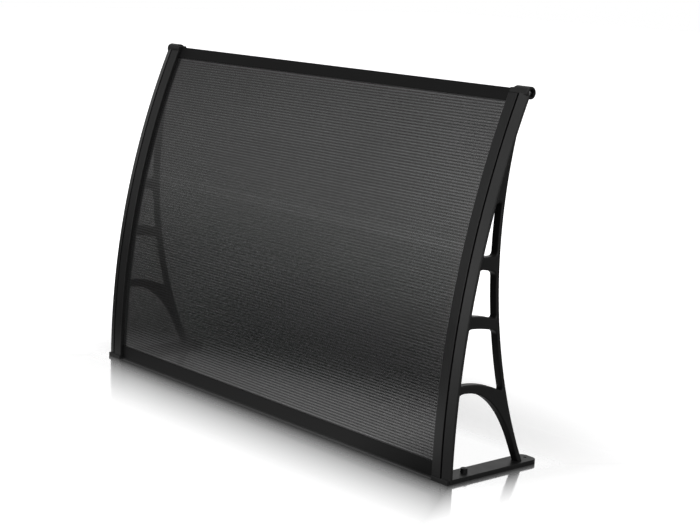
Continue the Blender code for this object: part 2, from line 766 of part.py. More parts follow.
def build_tip():
    """Roll at the rail's top end, with room for the cover strip and for the front rail's end."""
    depth, height = tip_centre()
    profile = []
    for turn in spread(0.0, math.pi / 2, TIP_ROUNDING_STEPS):
        radius = TIP_RADIUS - TIP_ROUNDING * (1 - math.sin(turn))
        profile.append((radius, TIP_ROUNDING * (1 - math.cos(turn))))
    length = RAIL_WIDTH - 2 * TIP_INSET
    profile.append((TIP_RADIUS, length))
    frame = Matrix.Translation((inset_x(TIP_INSET), depth, height)) @ Matrix.Rotation(-math.pi / 2, 4, "Y")
    tip = mesh_object("tip", turned("tip", profile, TIP_STEPS, frame))
    start = arc_angle(RAIL_TOP - 2 * CUT_MARGIN)
    side, floor = BAND_WIDTH + CUT_OVERLAP, SHEET_LEVEL - CUT_OVERLAP
    beyond = RAIL_WIDTH + CUT_MARGIN
    cover_room = ((side, floor), (beyond, floor), (beyond, CUT_MARGIN), (side, CUT_MARGIN))
    combine(tip, swept_section("cover_room", cover_room, (start, arc_angle(RAIL_TOP))), "DIFFERENCE")
    angle, half = rail_frame(FRONT_RAIL_LOW, FRONT_RAIL_HIGH)
    corners = (
        (-half - CUT_MARGIN, CHANNEL_FLOOR_LEVEL - CUT_OVERLAP),
        (-half - CUT_MARGIN, CLAMP_FRONT_LEVEL + GAP),
        (half + GAP, CLAMP_FRONT_LEVEL + GAP), (half + GAP, CHANNEL_FLOOR_LEVEL - CUT_OVERLAP),
    )
    room = prism("rail_room", [[rail_point(angle, *corner) for corner in corners]], 2 * CUT_MARGIN)
    room.transform(Matrix.Translation((inset_x(SHELF_END - CUT_OVERLAP) - CUT_MARGIN, 0, 0)))
    combine(tip, room, "DIFFERENCE")
    near = depth - CUT_MARGIN
    top = height + TIP_RADIUS
    slope_end = inset_x(TIP_STEP_INSET - TIP_STEP_RUN)
    step = (
        (inset_x(beyond), near, top - TIP_STEP_DROP), (inset_x(TIP_STEP_INSET), near, top - TIP_STEP_DROP),
        (slope_end, near, top), (slope_end, near, top + GAP), (inset_x(beyond), near, top + GAP),
    )
    combine(tip, extruded("step", step, (0, 2 * CUT_MARGIN, 0)), "DIFFERENCE")
    return tip


def strip_screw_angles():
    first = arc_angle(REAR_RAIL_HIGH + STRIP_SCREW_MARGIN)
    last = arc_angle(FRONT_RAIL_LOW - STRIP_SCREW_MARGIN)
    return spread(first, last, STRIP_SCREW_COUNT - 1)


def build_bracket(material):
    foot, end = arc_angle(PLATE_THICKNESS - RAIL_SINK), arc_angle(RAIL_TOP + RAIL_TIP_OVERLAP)
    angles = spread(foot, end, RAIL_STEPS)
    rail = swept_section("right_bracket", bracket_rail_section(), angles)
    bracket = mesh_object("right_bracket", rail)
    plate = mesh_object("plate", build_plate())
    low, high = PLATE_THICKNESS - BOSS_SINK, PLATE_THICKNESS + BOSS_HEIGHT
    hole_x, hole_y = plate_holes()[0]
    combine(plate, rod("boss", BOSS_RADIUS, (hole_x, hole_y, low), (hole_x, hole_y, high)), "UNION")
    for hole_x, hole_y in plate_holes():
        ends = (hole_x, hole_y, -CUT_MARGIN), (hole_x, hole_y, high + CUT_MARGIN)
        combine(plate, rod("hole", SCREW_HOLE_RADIUS, *ends), "DIFFERENCE")
    front = arc_point(0.0, CLAMP_FRONT_LEVEL + GAP)[0]
    back = arc_point(0.0, CHANNEL_FLOOR_LEVEL - CUT_OVERLAP)[0]
    room = block(
        "rail_room", (inset_x(RAIL_WIDTH + CUT_MARGIN), front, REAR_RAIL_LOW - GAP),
        (inset_x(SHELF_END - CUT_OVERLAP), back, CUT_MARGIN),
    )
    combine(plate, room, "DIFFERENCE")
    tip = build_tip()
    for piece in (build_web(), plate.data.copy(), tip.data.copy()):
        combine(bracket, piece, "UNION")
    for helper in (plate, tip):
        bpy.data.objects.remove(helper, do_unlink=True)
    depth, height = tip_centre()
    outside = (inset_x(-CUT_MARGIN), depth, height)
    bore = rod("bore", TIP_BORE_RADIUS, outside, (inset_x(TIP_BORE_DEPTH), depth, height), TIP_STEPS)
    combine(bracket, bore, "DIFFERENCE")
    inside = (inset_x(SHELF_END + CUT_MARGIN), depth, height)
    combine(bracket, rod("clearance", TIP_SCREW_RADIUS + GAP, outside, inside), "DIFFERENCE")
    holes = [(STRIP_SCREW_INSET, angle) for angle in strip_screw_angles()]
    holes.append((REAR_SCREW_INSET, rear_screw_angle()))
    for inset, angle in holes:
        frame = arc_frame(inset_x(inset), angle, 0.0)
        low = frame @ Vector((0, 0, FLANGE_BACK_LEVEL - CUT_MARGIN))
        high = frame @ Vector((0, 0, SHEET_LEVEL + CUT_OVERLAP))
        combine(bracket, rod("screw_hole", STRIP_SCREW_RADIUS + GAP, low, high, HOLE_STEPS), "DIFFERENCE")
    bracket.data.materials.clear()
    bracket.data.materials.append(material)
    return bracket


# Cover strips, seals and fasteners

def build_cover(material):
    low = arc_angle(PLATE_THICKNESS + GAP)
    high = arc_angle(RAIL_TOP - GAP)
    strip = swept_section("right_cover_strip", cover_section(), spread(low, high, RAIL_STEPS))
    cover = mesh_object("right_cover_strip", strip)
    for angle in strip_screw_angles():
        frame = arc_frame(inset_x(STRIP_SCREW_INSET), angle, 0.0)
        start = frame @ Vector((0, 0, SHEET_LEVEL - CUT_MARGIN / 2))
        end = frame @ Vector((0, 0, STRIP_SCREW_REACH + GAP))
        combine(cover, rod("screw_hole", STRIP_SCREW_RADIUS + GAP, start, end, HOLE_STEPS), "DIFFERENCE")
    cover.data.materials.clear()
    cover.data.materials.append(material)
    return cover


def build_edge_seal(material):
    low = arc_angle(REAR_RAIL_HIGH + 2 * GAP)
    high = arc_angle(FRONT_RAIL_LOW - 2 * GAP)
    mesh = swept_section("right_edge_seal", seal_section(), spread(low, high, RAIL_STEPS))
    return mesh_object("right_edge_seal", mesh, material)


def build_strip_screws(material):
    level = FLANGE_BACK_LEVEL - GAP
    screws = []
    for number, angle in enumerate(strip_screw_angles(), start=1):
        name = f"right_strip_screw_{number}"
        frame = arc_frame(inset_x(STRIP_SCREW_INSET), angle, level)
        length = STRIP_SCREW_REACH - level
        mesh = turned_screw(name, STRIP_HEAD_RADIUS, STRIP_HEAD_HEIGHT, STRIP_SCREW_RADIUS, length, frame)
        screws.append(mesh_object(name, mesh, material))
    return screws


def build_rear_screw(material):
    level = FLANGE_BACK_LEVEL - GAP
    frame = arc_frame(inset_x(REAR_SCREW_INSET), rear_screw_angle(), level)
    length = REAR_SCREW_REACH - level
    mesh = turned_screw(
        "right_rear_rail_screw", STRIP_HEAD_RADIUS, STRIP_HEAD_HEIGHT, STRIP_SCREW_RADIUS, length, frame
    )
    return mesh_object("right_rear_rail_screw", mesh, material)


def build_tip_screw(material):
    depth, height = tip_centre()
    seat = TIP_BORE_DEPTH - WASHER_THICKNESS - 2 * GAP
    frame = Matrix.Translation((inset_x(seat), depth, height)) @ Matrix.Rotation(-math.pi / 2, 4, "Y")
    length = SHELF_END + TIP_SCREW_GRIP - seat
    mesh = turned_screw(
        "right_front_rail_screw", TIP_HEAD_RADIUS, TIP_HEAD_HEIGHT, TIP_SCREW_RADIUS, length, frame
    )
    return mesh_object("right_front_rail_screw", mesh, material)


def build_washer(material):
    centre = tip_centre()
    loops = [circle_points(centre, WASHER_RADIUS), circle_points(centre, TIP_SCREW_RADIUS + GAP)]
    mesh = prism("right_front_washer", loops, WASHER_THICKNESS)
    middle = inset_x(TIP_BORE_DEPTH - GAP - WASHER_THICKNESS / 2)
    mesh.transform(Matrix.Translation((middle, 0, 0)))
    return mesh_object("right_front_washer", mesh, material)


def build_canopy():
    clear_scene()
    build_sheet(make_material("smoked_sheet", SMOKE, 0.25))
    build_front_rail(make_material("front_rail_black", BLACK_METAL, 0.35, 0.4))
    build_rear_rail(make_material("rear_rail_black", BLACK_METAL, 0.38, 0.4))
    build_wall_seal(make_material("wall_seal_rubber", RUBBER, 0.8))
    right_pieces = (
        build_bracket(make_material("bracket_black", BLACK, 0.35)),
        build_cover(make_material("cover_black", GLOSSY_BLACK, 0.3)),
        build_edge_seal(make_material("edge_seal_rubber", RUBBER, 0.8)),
        *build_strip_screws(make_material("strip_screw_steel", STEEL, 0.3, 1.0)),
        build_rear_screw(make_material("rear_screw_steel", STEEL, 0.3, 1.0)),
        build_tip_screw(make_material("front_screw_steel", STEEL, 0.3, 1.0)),
        build_washer(make_material("washer_steel", STEEL, 0.35, 1.0)),
    )
    for piece in right_pieces:
        name = piece.name.replace("right_", "left_")
        copy = mesh_object(name, mirrored(name, piece))
        material = piece.data.materials[0].copy()
        material.name = "left_" + piece.data.materials[0].name
        copy.data.materials.clear()
        copy.data.materials.append(material)
    for item in bpy.data.objects:
        shade(item)


build_canopy()
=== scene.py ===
import math

import bmesh
import bpy
import numpy as np
from mathutils import Matrix, Vector
from mathutils.geometry import tessellate_polygon


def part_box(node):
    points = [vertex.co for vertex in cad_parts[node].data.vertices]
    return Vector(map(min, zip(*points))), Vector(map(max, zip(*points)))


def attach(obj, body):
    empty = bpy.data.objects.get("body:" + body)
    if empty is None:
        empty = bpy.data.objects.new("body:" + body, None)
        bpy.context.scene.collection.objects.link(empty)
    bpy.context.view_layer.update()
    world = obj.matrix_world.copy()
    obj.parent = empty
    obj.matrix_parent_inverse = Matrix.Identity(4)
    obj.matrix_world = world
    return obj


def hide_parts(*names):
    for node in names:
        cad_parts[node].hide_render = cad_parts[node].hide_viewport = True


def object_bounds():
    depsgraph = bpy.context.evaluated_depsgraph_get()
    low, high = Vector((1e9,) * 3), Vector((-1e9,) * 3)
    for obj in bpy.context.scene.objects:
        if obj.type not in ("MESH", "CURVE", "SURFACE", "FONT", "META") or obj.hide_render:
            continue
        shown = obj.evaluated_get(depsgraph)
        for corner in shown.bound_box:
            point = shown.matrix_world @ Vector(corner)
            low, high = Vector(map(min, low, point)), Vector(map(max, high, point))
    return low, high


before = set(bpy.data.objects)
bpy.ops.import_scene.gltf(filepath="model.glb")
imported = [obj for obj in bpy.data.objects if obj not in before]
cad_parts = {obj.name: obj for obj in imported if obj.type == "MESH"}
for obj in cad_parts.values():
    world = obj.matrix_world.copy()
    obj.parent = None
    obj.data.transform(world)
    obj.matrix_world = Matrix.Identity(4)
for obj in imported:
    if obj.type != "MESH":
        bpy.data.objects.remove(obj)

cadLow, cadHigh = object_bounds()


# Dictionary of a piece's or finish's values, which also read as names: sheet.level is sheet["level"]
class Sizes(dict):
    __getattr__ = dict.__getitem__


def addObject(name, data):
    item = bpy.data.objects.new(name, data)
    bpy.context.scene.collection.objects.link(item)
    return item


camera = Sizes(
    place=(2.87999, -2.41220, 1.06618),
    yaw=0.84723, pitch=0.18825, roll=0.04373,  # radians
    focal=1619.2835, imageWidth=700,  # focal length in pixels of an image this wide
    sensor=36.0,
)


# Yaw and pitch turn the view direction. Roll turns the right and up directions about it.
def makeCamera():
    yaw, pitch, roll = camera.yaw, camera.pitch, camera.roll
    forward = Vector((-math.sin(yaw) * math.cos(pitch), math.cos(yaw) * math.cos(pitch), -math.sin(pitch)))
    right = Vector((math.cos(yaw), math.sin(yaw), 0.0))
    up = right.cross(forward)
    turnedRight = math.cos(roll) * right + math.sin(roll) * up
    turnedUp = math.cos(roll) * up - math.sin(roll) * right
    data = bpy.data.cameras.new("photoCamera")
    data.sensor_width = camera.sensor
    data.lens = camera.focal * camera.sensor / camera.imageWidth
    item = addObject("photoCamera", data)
    axes = Matrix((turnedRight, turnedUp, -forward)).transposed().to_4x4()
    item.matrix_world = Matrix.Translation(camera.place) @ axes
    bpy.context.scene.camera = item


makeCamera()
print("camera ready")


def grey(level):
    return (level, level, level, 1.0)


# A node's output. Arithmetic on wires adds Math nodes.
class Wire:

    def __init__(self, tree, socket):
        self.tree = tree
        self.socket = socket

    # Any node: its type, its settings, which are set first, then values or links for its sockets
    def node(self, kind, settings=None, inputs=None, output=0):
        made = self.tree.nodes.new(kind)
        for name, value in (settings or {}).items():
            setattr(made, name, value)
        for key, value in (inputs or {}).items():
            if isinstance(value, Wire):
                self.tree.links.new(value.socket, made.inputs[key])
            else:
                made.inputs[key].default_value = value
        return Wire(self.tree, made.outputs[output])

    # Math node on the values, or on this wire alone
    def maths(self, operation, *values):
        return self.node("ShaderNodeMath", {"operation": operation}, dict(enumerate(values or (self,))))

    def __add__(self, other):
        return self.maths("ADD", self, other)

    def __radd__(self, other):
        return self.maths("ADD", other, self)

    def __sub__(self, other):
        return self.maths("SUBTRACT", self, other)

    def __rsub__(self, other):
        return self.maths("SUBTRACT", other, self)

    def __mul__(self, other):
        return self.maths("MULTIPLY", self, other)

    def __rmul__(self, other):
        return self.maths("MULTIPLY", other, self)

    def __truediv__(self, other):
        return self.maths("DIVIDE", self, other)

    def __rtruediv__(self, other):
        return self.maths("DIVIDE", other, self)

    def clamp(self, low=0.0, high=1.0):
        return self.node("ShaderNodeClamp", {}, {"Value": self, "Min": low, "Max": high})

    # One of a vector's three numbers
    def axis(self, number):
        return self.node("ShaderNodeSeparateXYZ", {}, {"Vector": self}, number)

    def noise(self, scale, detail, roughness):
        inputs = {"Vector": self, "Scale": scale, "Detail": detail, "Roughness": roughness}
        return self.node("ShaderNodeTexNoise", {}, inputs)

    # How far a noise is from its middle, times a size
    def swing(self, size):
        return (self - 0.5) * size

    def stretched(self, scale):
        return self.node("ShaderNodeMapping", {}, {"Vector": self, "Scale": scale})

    # From the first colour to the second as this value goes from 0 to 1
    def mixColours(self, first, second):
        return self.node("ShaderNodeMix", {"data_type": "RGBA"}, {"Factor": self, 6: first, 7: second}, 2)

    def mixGreys(self, levels):
        return self.mixColours(grey(levels[0]), grey(levels[1]))

    def bump(self, strength, distance):
        return self.node("ShaderNodeBump", {}, {"Height": self, "Strength": strength, "Distance": distance})


# Constants sit on the shader's own sockets. varying(place) makes the linked ones from Object coordinates.
def newMaterial(name, constants, varying):
    material = bpy.data.materials.new(name)
    material.use_nodes = True
    tree = material.node_tree
    shader = tree.nodes["Principled BSDF"]
    for key, value in constants.items():
        shader.inputs[key].default_value = value
    place = Wire(tree, tree.nodes.new("ShaderNodeTexCoord").outputs["Object"])
    for key, wire in varying(place).items():
        tree.links.new(wire.socket, shader.inputs[key])
    return material


# Each finish has its two greys and its noises: scale, detail, roughness, share of the tone, swing of the
# gloss, and the strength and distance of a bump
plastic = Sizes(greys=(0.0065, 0.0095), noises=(
    (9.0, 3.0, 0.5, 0.6, 0.0, None),  # slow tone changes
    ((30.0, 30.0, 8.0), 4.0, 0.6, 0.4, 0.16, None),  # flow marks
    (1.0 / 0.0011, 2.0, 0.55, 0.0, 0.1, (0.25, 0.00002)),  # pebble grain
))
railCoat = Sizes(greys=(0.003, 0.005), noises=(
    ((3.0, 900.0, 900.0), 3.0, 0.6, 0.5, 0.14, (0.2, 0.000006)),  # drawn lines along the rail
    (14.0, 3.0, 0.5, 0.5, 0.1, None),  # faint cloudiness
))
rubber = Sizes(greys=(0.006, 0.012), noises=(
    (40.0, 4.0, 0.6, 1.0, 0.2, None),  # dusty bloom in patches
    (2600.0, 2.0, 0.5, 0.0, 0.0, (0.3, 0.00003)),  # fine skin
))
plating = Sizes(greys=(0.36, 0.52), noises=(
    (500.0, 4.0, 0.65, 1.0, 0.2, None),  # clouded zinc
    (5200.0, 2.0, 0.5, 0.0, 0.0, (0.15, 0.00002)),  # turning marks
))


# The tone goes from the first grey to the second by the sum of each noise times its share. The roughness
# is its middle value plus each noise's distance from a half times its swing.
def noisyFinish(name, look, roughness, constants):
    def varying(place):
        share, rough = 0.0, roughness
        for scale, detail, coarse, toneShare, swing, bump in look.noises:
            where = place
            if isinstance(scale, tuple):
                where, scale = place.stretched(scale), 1.0
            noise = where.noise(scale, detail, coarse)
            if toneShare:
                share = share + noise * toneShare
            if swing:
                rough = rough + noise.swing(swing)
            if bump:
                normal = noise.bump(*bump)
        return {"Base Color": share.mixGreys(look.greys), "Roughness": rough.clamp(), "Normal": normal}
    return newMaterial(name, constants, varying)


smoke = Sizes(
    rib=0.038, flute=0.15, inner=0.006, roughness=0.17, metal=0.85,
    ribAlpha=0.93, fluteAlpha=0.88, innerAlpha=0.40, swellAlpha=0.85, cloudAlpha=0.15,
    paleFlutes=(70.5, 72.5), paleLift=0.2,  # flutes that stand out, counted from the wall
    drawn=(1.6, 260.0, 260.0), drawnShare=0.6, drawnGloss=0.1,
    cloud=(3.0, 5.0, 7.0), cloudShare=0.4, swellShare=0.75,
)


# Smoked sheet. Swell is half less half the cosine of one turn a flute, so 0 at a rib. The front goes from
# rib to flute in tone by swell times a share that drawn lines and clouds swing, plus the pale flutes, and
# in alpha by swell and cloud. The inner faces are nearly black and thin. The attribute front is a face's
# share of the front.
def smokeFinish(name):
    def varying(place):
        flute = place.node("ShaderNodeAttribute", {"attribute_name": "flute"}, output=2)
        front = place.node("ShaderNodeAttribute", {"attribute_name": "front"}, output=2)
        swell = 0.5 - (flute * math.tau).maths("COSINE") * 0.5
        drawn = place.stretched(smoke.drawn).noise(1.0, 3.0, 0.6)
        cloud = place.stretched(smoke.cloud).noise(1.0, 3.0, 0.5)
        pale = 0.0
        for number in smoke.paleFlutes:
            pale = (1.0 - (flute - number).maths("ABSOLUTE")).clamp() + pale
        share = smoke.swellShare + drawn.swing(smoke.drawnShare) + cloud.swing(smoke.cloudShare)
        share = swell * share + pale * smoke.paleLift
        lined = share.clamp().mixGreys((smoke.rib, smoke.flute))
        tone = front.mixColours(grey(smoke.inner), lined)
        thin = swell * smoke.swellAlpha + cloud * smoke.cloudAlpha
        outer = smoke.ribAlpha - (smoke.ribAlpha - smoke.fluteAlpha) * thin
        alpha = smoke.innerAlpha + front * (outer - smoke.innerAlpha)
        rough = smoke.roughness + drawn.swing(smoke.drawnGloss)
        metal = front * smoke.metal
        return {"Base Color": tone, "Alpha": alpha, "Roughness": rough.clamp(), "Metallic": metal}
    return newMaterial(name, {"IOR": 1.5}, varying)


finishes = {
    "bracket": noisyFinish("bracketPlastic", plastic, 0.44, {"Specular IOR Level": 0.22}),
    "cover": noisyFinish("coverPlastic", plastic, 0.36, {"Specular IOR Level": 0.26}),
    "rail": noisyFinish("railCoat", railCoat, 0.42, {"Specular IOR Level": 0.1}),
    "rubber": noisyFinish("sealRubber", rubber, 0.72, {"Specular IOR Level": 0.25}),
    "steel": noisyFinish("platedSteel", plating, 0.26, {"Metallic": 1.0}),
    "smoke": smokeFinish("smokedSheet"),
}
print("finishes ready")


def newMesh(name, points, faces):
    mesh = bpy.data.meshes.new(name)
    mesh.from_pydata(np.asarray(points).reshape(-1, 3).tolist(), [], faces)
    return mesh


# Points nearer than this are merged, and a mesh whose signed volume is below zero is turned round
def faceOutwards(mesh, mergeWithin=0.0):
    shape = bmesh.new()
    shape.from_mesh(mesh)
    if mergeWithin:
        bmesh.ops.remove_doubles(shape, verts=shape.verts, dist=mergeWithin)
    bmesh.ops.recalc_face_normals(shape, faces=shape.faces)
    if shape.calc_volume(signed=True) < 0:
        bmesh.ops.reverse_faces(shape, faces=shape.faces)
    shape.to_mesh(mesh)
    shape.free()


# Visible piece of a mesh, which stands for the named CAD nodes. Edges past the smooth angle stay sharp.
def dressMesh(name, mesh, finish, nodes, smoothAngle=32.0):
    faceOutwards(mesh, 1e-6)
    mesh.materials.clear()
    mesh.materials.append(finishes[finish])
    mesh.shade_smooth()
    mesh.set_sharp_from_angle(angle=math.radians(smoothAngle))
    item = addObject(name, mesh)
    weighted = item.modifiers.new("faceWeights", "WEIGHTED_NORMAL")
    weighted.keep_sharp = True
    weighted.weight = 100
    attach(item, "root")
    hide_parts(*nodes)


def meshPiece(name, points, faces, finish, nodes, smoothAngle=32.0, attributes=None):
    mesh = newMesh(name, points, faces)
    for title, values in (attributes or {}).items():
        mesh.attributes.new(title, "FLOAT", "POINT").data.foreach_set("value", values.astype(np.float32))
    dressMesh(name, mesh, finish, nodes, smoothAngle)


# Quads between neighbouring points of a rows by columns grid, as point numbers counted from start
def gridFaces(rows, columns, closeRows=False, closeColumns=False, start=0):
    down = np.arange(rows if closeRows else rows - 1)
    across = np.arange(columns if closeColumns else columns - 1)
    r, c = np.meshgrid(down, across, indexing="ij")
    nextR, nextC = (r + 1) % rows, (c + 1) % columns
    corners = [r * columns + c, r * columns + nextC, nextR * columns + nextC, nextR * columns + c]
    return (np.stack(corners, axis=-1).reshape(-1, 4) + start).tolist()


# Arrays of the same length side by side
def asColumns(*arrays):
    return np.stack(arrays, axis=1)


# Closed solid from a grid of points: each row is one place of the closed section, and both ends are flat
def carriedSection(points):
    rows, columns = points.shape[:2]
    faces = gridFaces(rows, columns, closeColumns=True)
    faces.append(list(range(columns)))
    faces.append(list(range((rows - 1) * columns, rows * columns))[::-1])
    return points, faces


# Curve that leaves start and reaches end along the lines to the corner, as t goes from 0 to 1:
# start times (1 - t) squared, corner times twice t (1 - t), and end times t squared
def cornerCurve(start, corner, end, t):
    return (1 - t) ** 2 * start + 2 * t * (1 - t) * corner + t**2 * end


# Outline with rounded corners. Each corner is (x, y, reach): its curve starts and ends that far from it.
def roundCorners(corners, steps=4):
    corners = np.array(corners, float)
    places = corners[:, :2]
    before = np.roll(places, 1, axis=0) - places
    after = np.roll(places, -1, axis=0) - places
    before /= np.linalg.norm(before, axis=1, keepdims=True)
    after /= np.linalg.norm(after, axis=1, keepdims=True)
    start = places + before * corners[:, 2:]
    end = places + after * corners[:, 2:]
    t = np.linspace(0.0, 1.0, steps + 1)[None, :, None]
    return thinned(cornerCurve(start[:, None], places[:, None], end[:, None], t).reshape(-1, 2))


# Closed loop without points that repeat the one before them
def thinned(loop, least=1e-5):
    gap = np.linalg.norm(loop - np.roll(loop, 1, axis=0), axis=1)
    return loop[gap > least]


# Vectors to the left of each place of a closed loop, across the mean of its two sides, and so long that
# both sides move in by one
def inward(loop):
    ahead = np.roll(loop, -1, axis=0) - loop
    behind = loop - np.roll(loop, 1, axis=0)
    ahead /= np.linalg.norm(ahead, axis=1, keepdims=True)
    behind /= np.linalg.norm(behind, axis=1, keepdims=True)
    across = asColumns(-(ahead + behind)[:, 1], (ahead + behind)[:, 0])
    length = np.linalg.norm(across, axis=1, keepdims=True)
    return across / length * (2.0 / length)


# Half the sum of x times the next y less y times the next x
def area(loop):
    x, y = loop[:, 0], loop[:, 1]
    return 0.5 * np.sum(x * np.roll(y, -1) - y * np.roll(x, -1))


# Flat solid: loops are (x, y) outlines, the first one outside. Each rim is a profile of (setback,
# height), which is carried round its loop with the setback into the material. Bottom and top are filled
# between the rims' ends.
def slabShape(loops, rims):
    points, faces, lowRings, highRings = [], [], [], []
    count = 0
    for number, (loop, rim) in enumerate(zip(loops, rims)):
        loop = np.asarray(loop, float)
        if (area(loop) > 0) != (number == 0):
            loop = loop[::-1]
        rim = np.asarray(rim, float)
        rings = loop[None] + inward(loop)[None] * rim[:, 0, None, None]
        height = np.broadcast_to(rim[:, 1, None, None], rings.shape[:2] + (1,))
        points.append(np.concatenate([rings, height], axis=2).reshape(-1, 3))
        faces += gridFaces(len(rim), len(loop), closeColumns=True, start=count)
        lowRings.append(np.arange(len(loop)) + count)
        highRings.append(np.arange(len(loop)) + count + (len(rim) - 1) * len(loop))
        count += len(rim) * len(loop)
    points = np.concatenate(points)
    for rings in (lowRings, highRings):
        order = np.concatenate(rings)
        flat = [[Vector((*points[k, :2], 0.0)) for k in ring] for ring in rings]
        faces += [[int(order[k]) for k in face] for face in tessellate_polygon(flat)]
    return points, faces


# Quarter circle of an edge: the setback is reach times 1 less the sine, the rise is reach times 1 less
# the cosine
def quarterRound(reach, steps):
    turn = np.linspace(0.0, math.pi / 2, steps + 1)
    return reach * (1 - np.sin(turn)), reach * (1 - np.cos(turn))


# Rim of a slab that is rounded at both ends
def roundedRim(height, reach, steps):
    setback, rise = quarterRound(reach, steps)
    lower = asColumns(setback, rise)
    upper = asColumns(setback, height - rise)[::-1]
    return np.concatenate([lower, upper])


# Grid of (radius, height) points turned about Z: radius times cosine, radius times sine, height
def turnedGrid(profile, steps):
    profile = np.asarray(profile, float)
    turn = np.arange(steps) * math.tau / steps
    radius, height = profile[:, 0, None], profile[:, 1, None]
    return np.stack([radius * np.cos(turn), radius * np.sin(turn), height * np.ones((1, steps))], axis=-1)


# Ring from a closed profile turned about Z
def turnedRing(profile, steps):
    return turnedGrid(profile, steps), gridFaces(len(profile), steps, closeRows=True, closeColumns=True)


# Points moved by a 4 by 4 matrix
def placed(points, matrix):
    matrix = np.array(matrix)
    return np.asarray(points).reshape(-1, 3) @ matrix[:3, :3].T + matrix[:3, 3]


# camelCase name as the frame's node name
def nodeName(name):
    return "".join("_" + letter.lower() if letter.isupper() else letter for letter in name)


# The right-hand piece, and its mirror image in X. Each stands for the node of its side.
def bothSides(name, shape, finish, smoothAngle=32.0):
    points, faces = shape
    for side, sign in (("right", 1.0), ("left", -1.0)):
        title = side + name[0].upper() + name[1:]
        place = np.asarray(points).reshape(-1, 3) * (sign, 1.0, 1.0)
        meshPiece(title, place, faces, finish, [side + "_" + nodeName(name)], smoothAngle)


# The arc that the sheet, the covers and the brackets' rails share

canopy = Sizes(
    radius=1.957, centreHeight=0.0207, gap=0.0003, arcSteps=120,
    plateLip=0.001, plateThickness=0.010, bandRise=0.006, railTop=0.7995,
)
gap = canopy.gap
plateThickness = canopy.plateThickness
halfWidth = cadHigh.x
plateFront = cadLow.y
edgeFront = plateFront + canopy.plateLip + canopy.bandRise


# Depth and height at an angle on a circle of radius plus level, level metres in front of the rails' outer
# edge
def arcPoint(angle, level):
    radius = canopy.radius + level
    depth = edgeFront + canopy.radius - radius * np.cos(angle)
    return depth, canopy.centreHeight + radius * np.sin(angle)


# Angle whose sine is the height over the centre, divided by the circle's radius
def arcAngle(height, level=0.0):
    return math.asin((height - canopy.centreHeight) / (canopy.radius + level))


# Solid of an (inset, level) section carried along the arc. x is half the width less the inset.
def alongArc(section, low, high, steps=canopy.arcSteps):
    section = np.asarray(section, float)
    angles = np.linspace(low, high, steps)[:, None]
    depth, height = arcPoint(angles, section[None, :, 1])
    x = np.broadcast_to(halfWidth - section[None, :, 0], depth.shape)
    return carriedSection(np.stack([x, depth, height], axis=-1))


# Matrix at a place on the arc: its Z axis points out of the front and its Y axis runs up
def arcFrame(x, angle, level):
    depth, height = arcPoint(angle, level)
    outward = Vector((0.0, -math.cos(angle), math.sin(angle)))
    along = Vector((0.0, math.sin(angle), math.cos(angle)))
    matrix = Matrix((along.cross(outward), along, outward)).transposed().to_4x4()
    matrix.translation = (x, float(depth), float(height))
    return matrix


# Smoked twin-wall sheet

sheet = Sizes(
    level=-0.0045, thickness=0.006, skin=0.0007, rib=0.0006, pitch=0.00645,
    bow=0.00009, bowSteps=8, slotDepth=0.012, inset=0.0431, columns=8,
    backShare=0.35, smoothAngle=20.0,
)
sheetBack = sheet.level - sheet.thickness
sheetMiddle = sheet.level - sheet.thickness / 2
frontRailSize = Sizes(low=0.7855, high=0.8115)
rearRailSize = Sizes(low=0.0035, high=0.036)


# Angle at a rail's middle, and its half height along the arc
def railMiddle(size):
    first, last = arcAngle(size.low), arcAngle(size.high)
    return (first + last) / 2, (canopy.radius + sheetMiddle) * (last - first) / 2


# Angle where the sheet's edge stops, a gap short of the floor of a rail's slot
def sheetEnd(size, sign):
    angle, half = railMiddle(size)
    reach = half - sheet.slotDepth + gap
    return angle + sign * reach / (canopy.radius + sheetBack)


# Outline of two angle rows, the first in front
def skinLoop(angles, front, back):
    return np.concatenate([asColumns(angles, front), asColumns(angles, back)[::-1]])


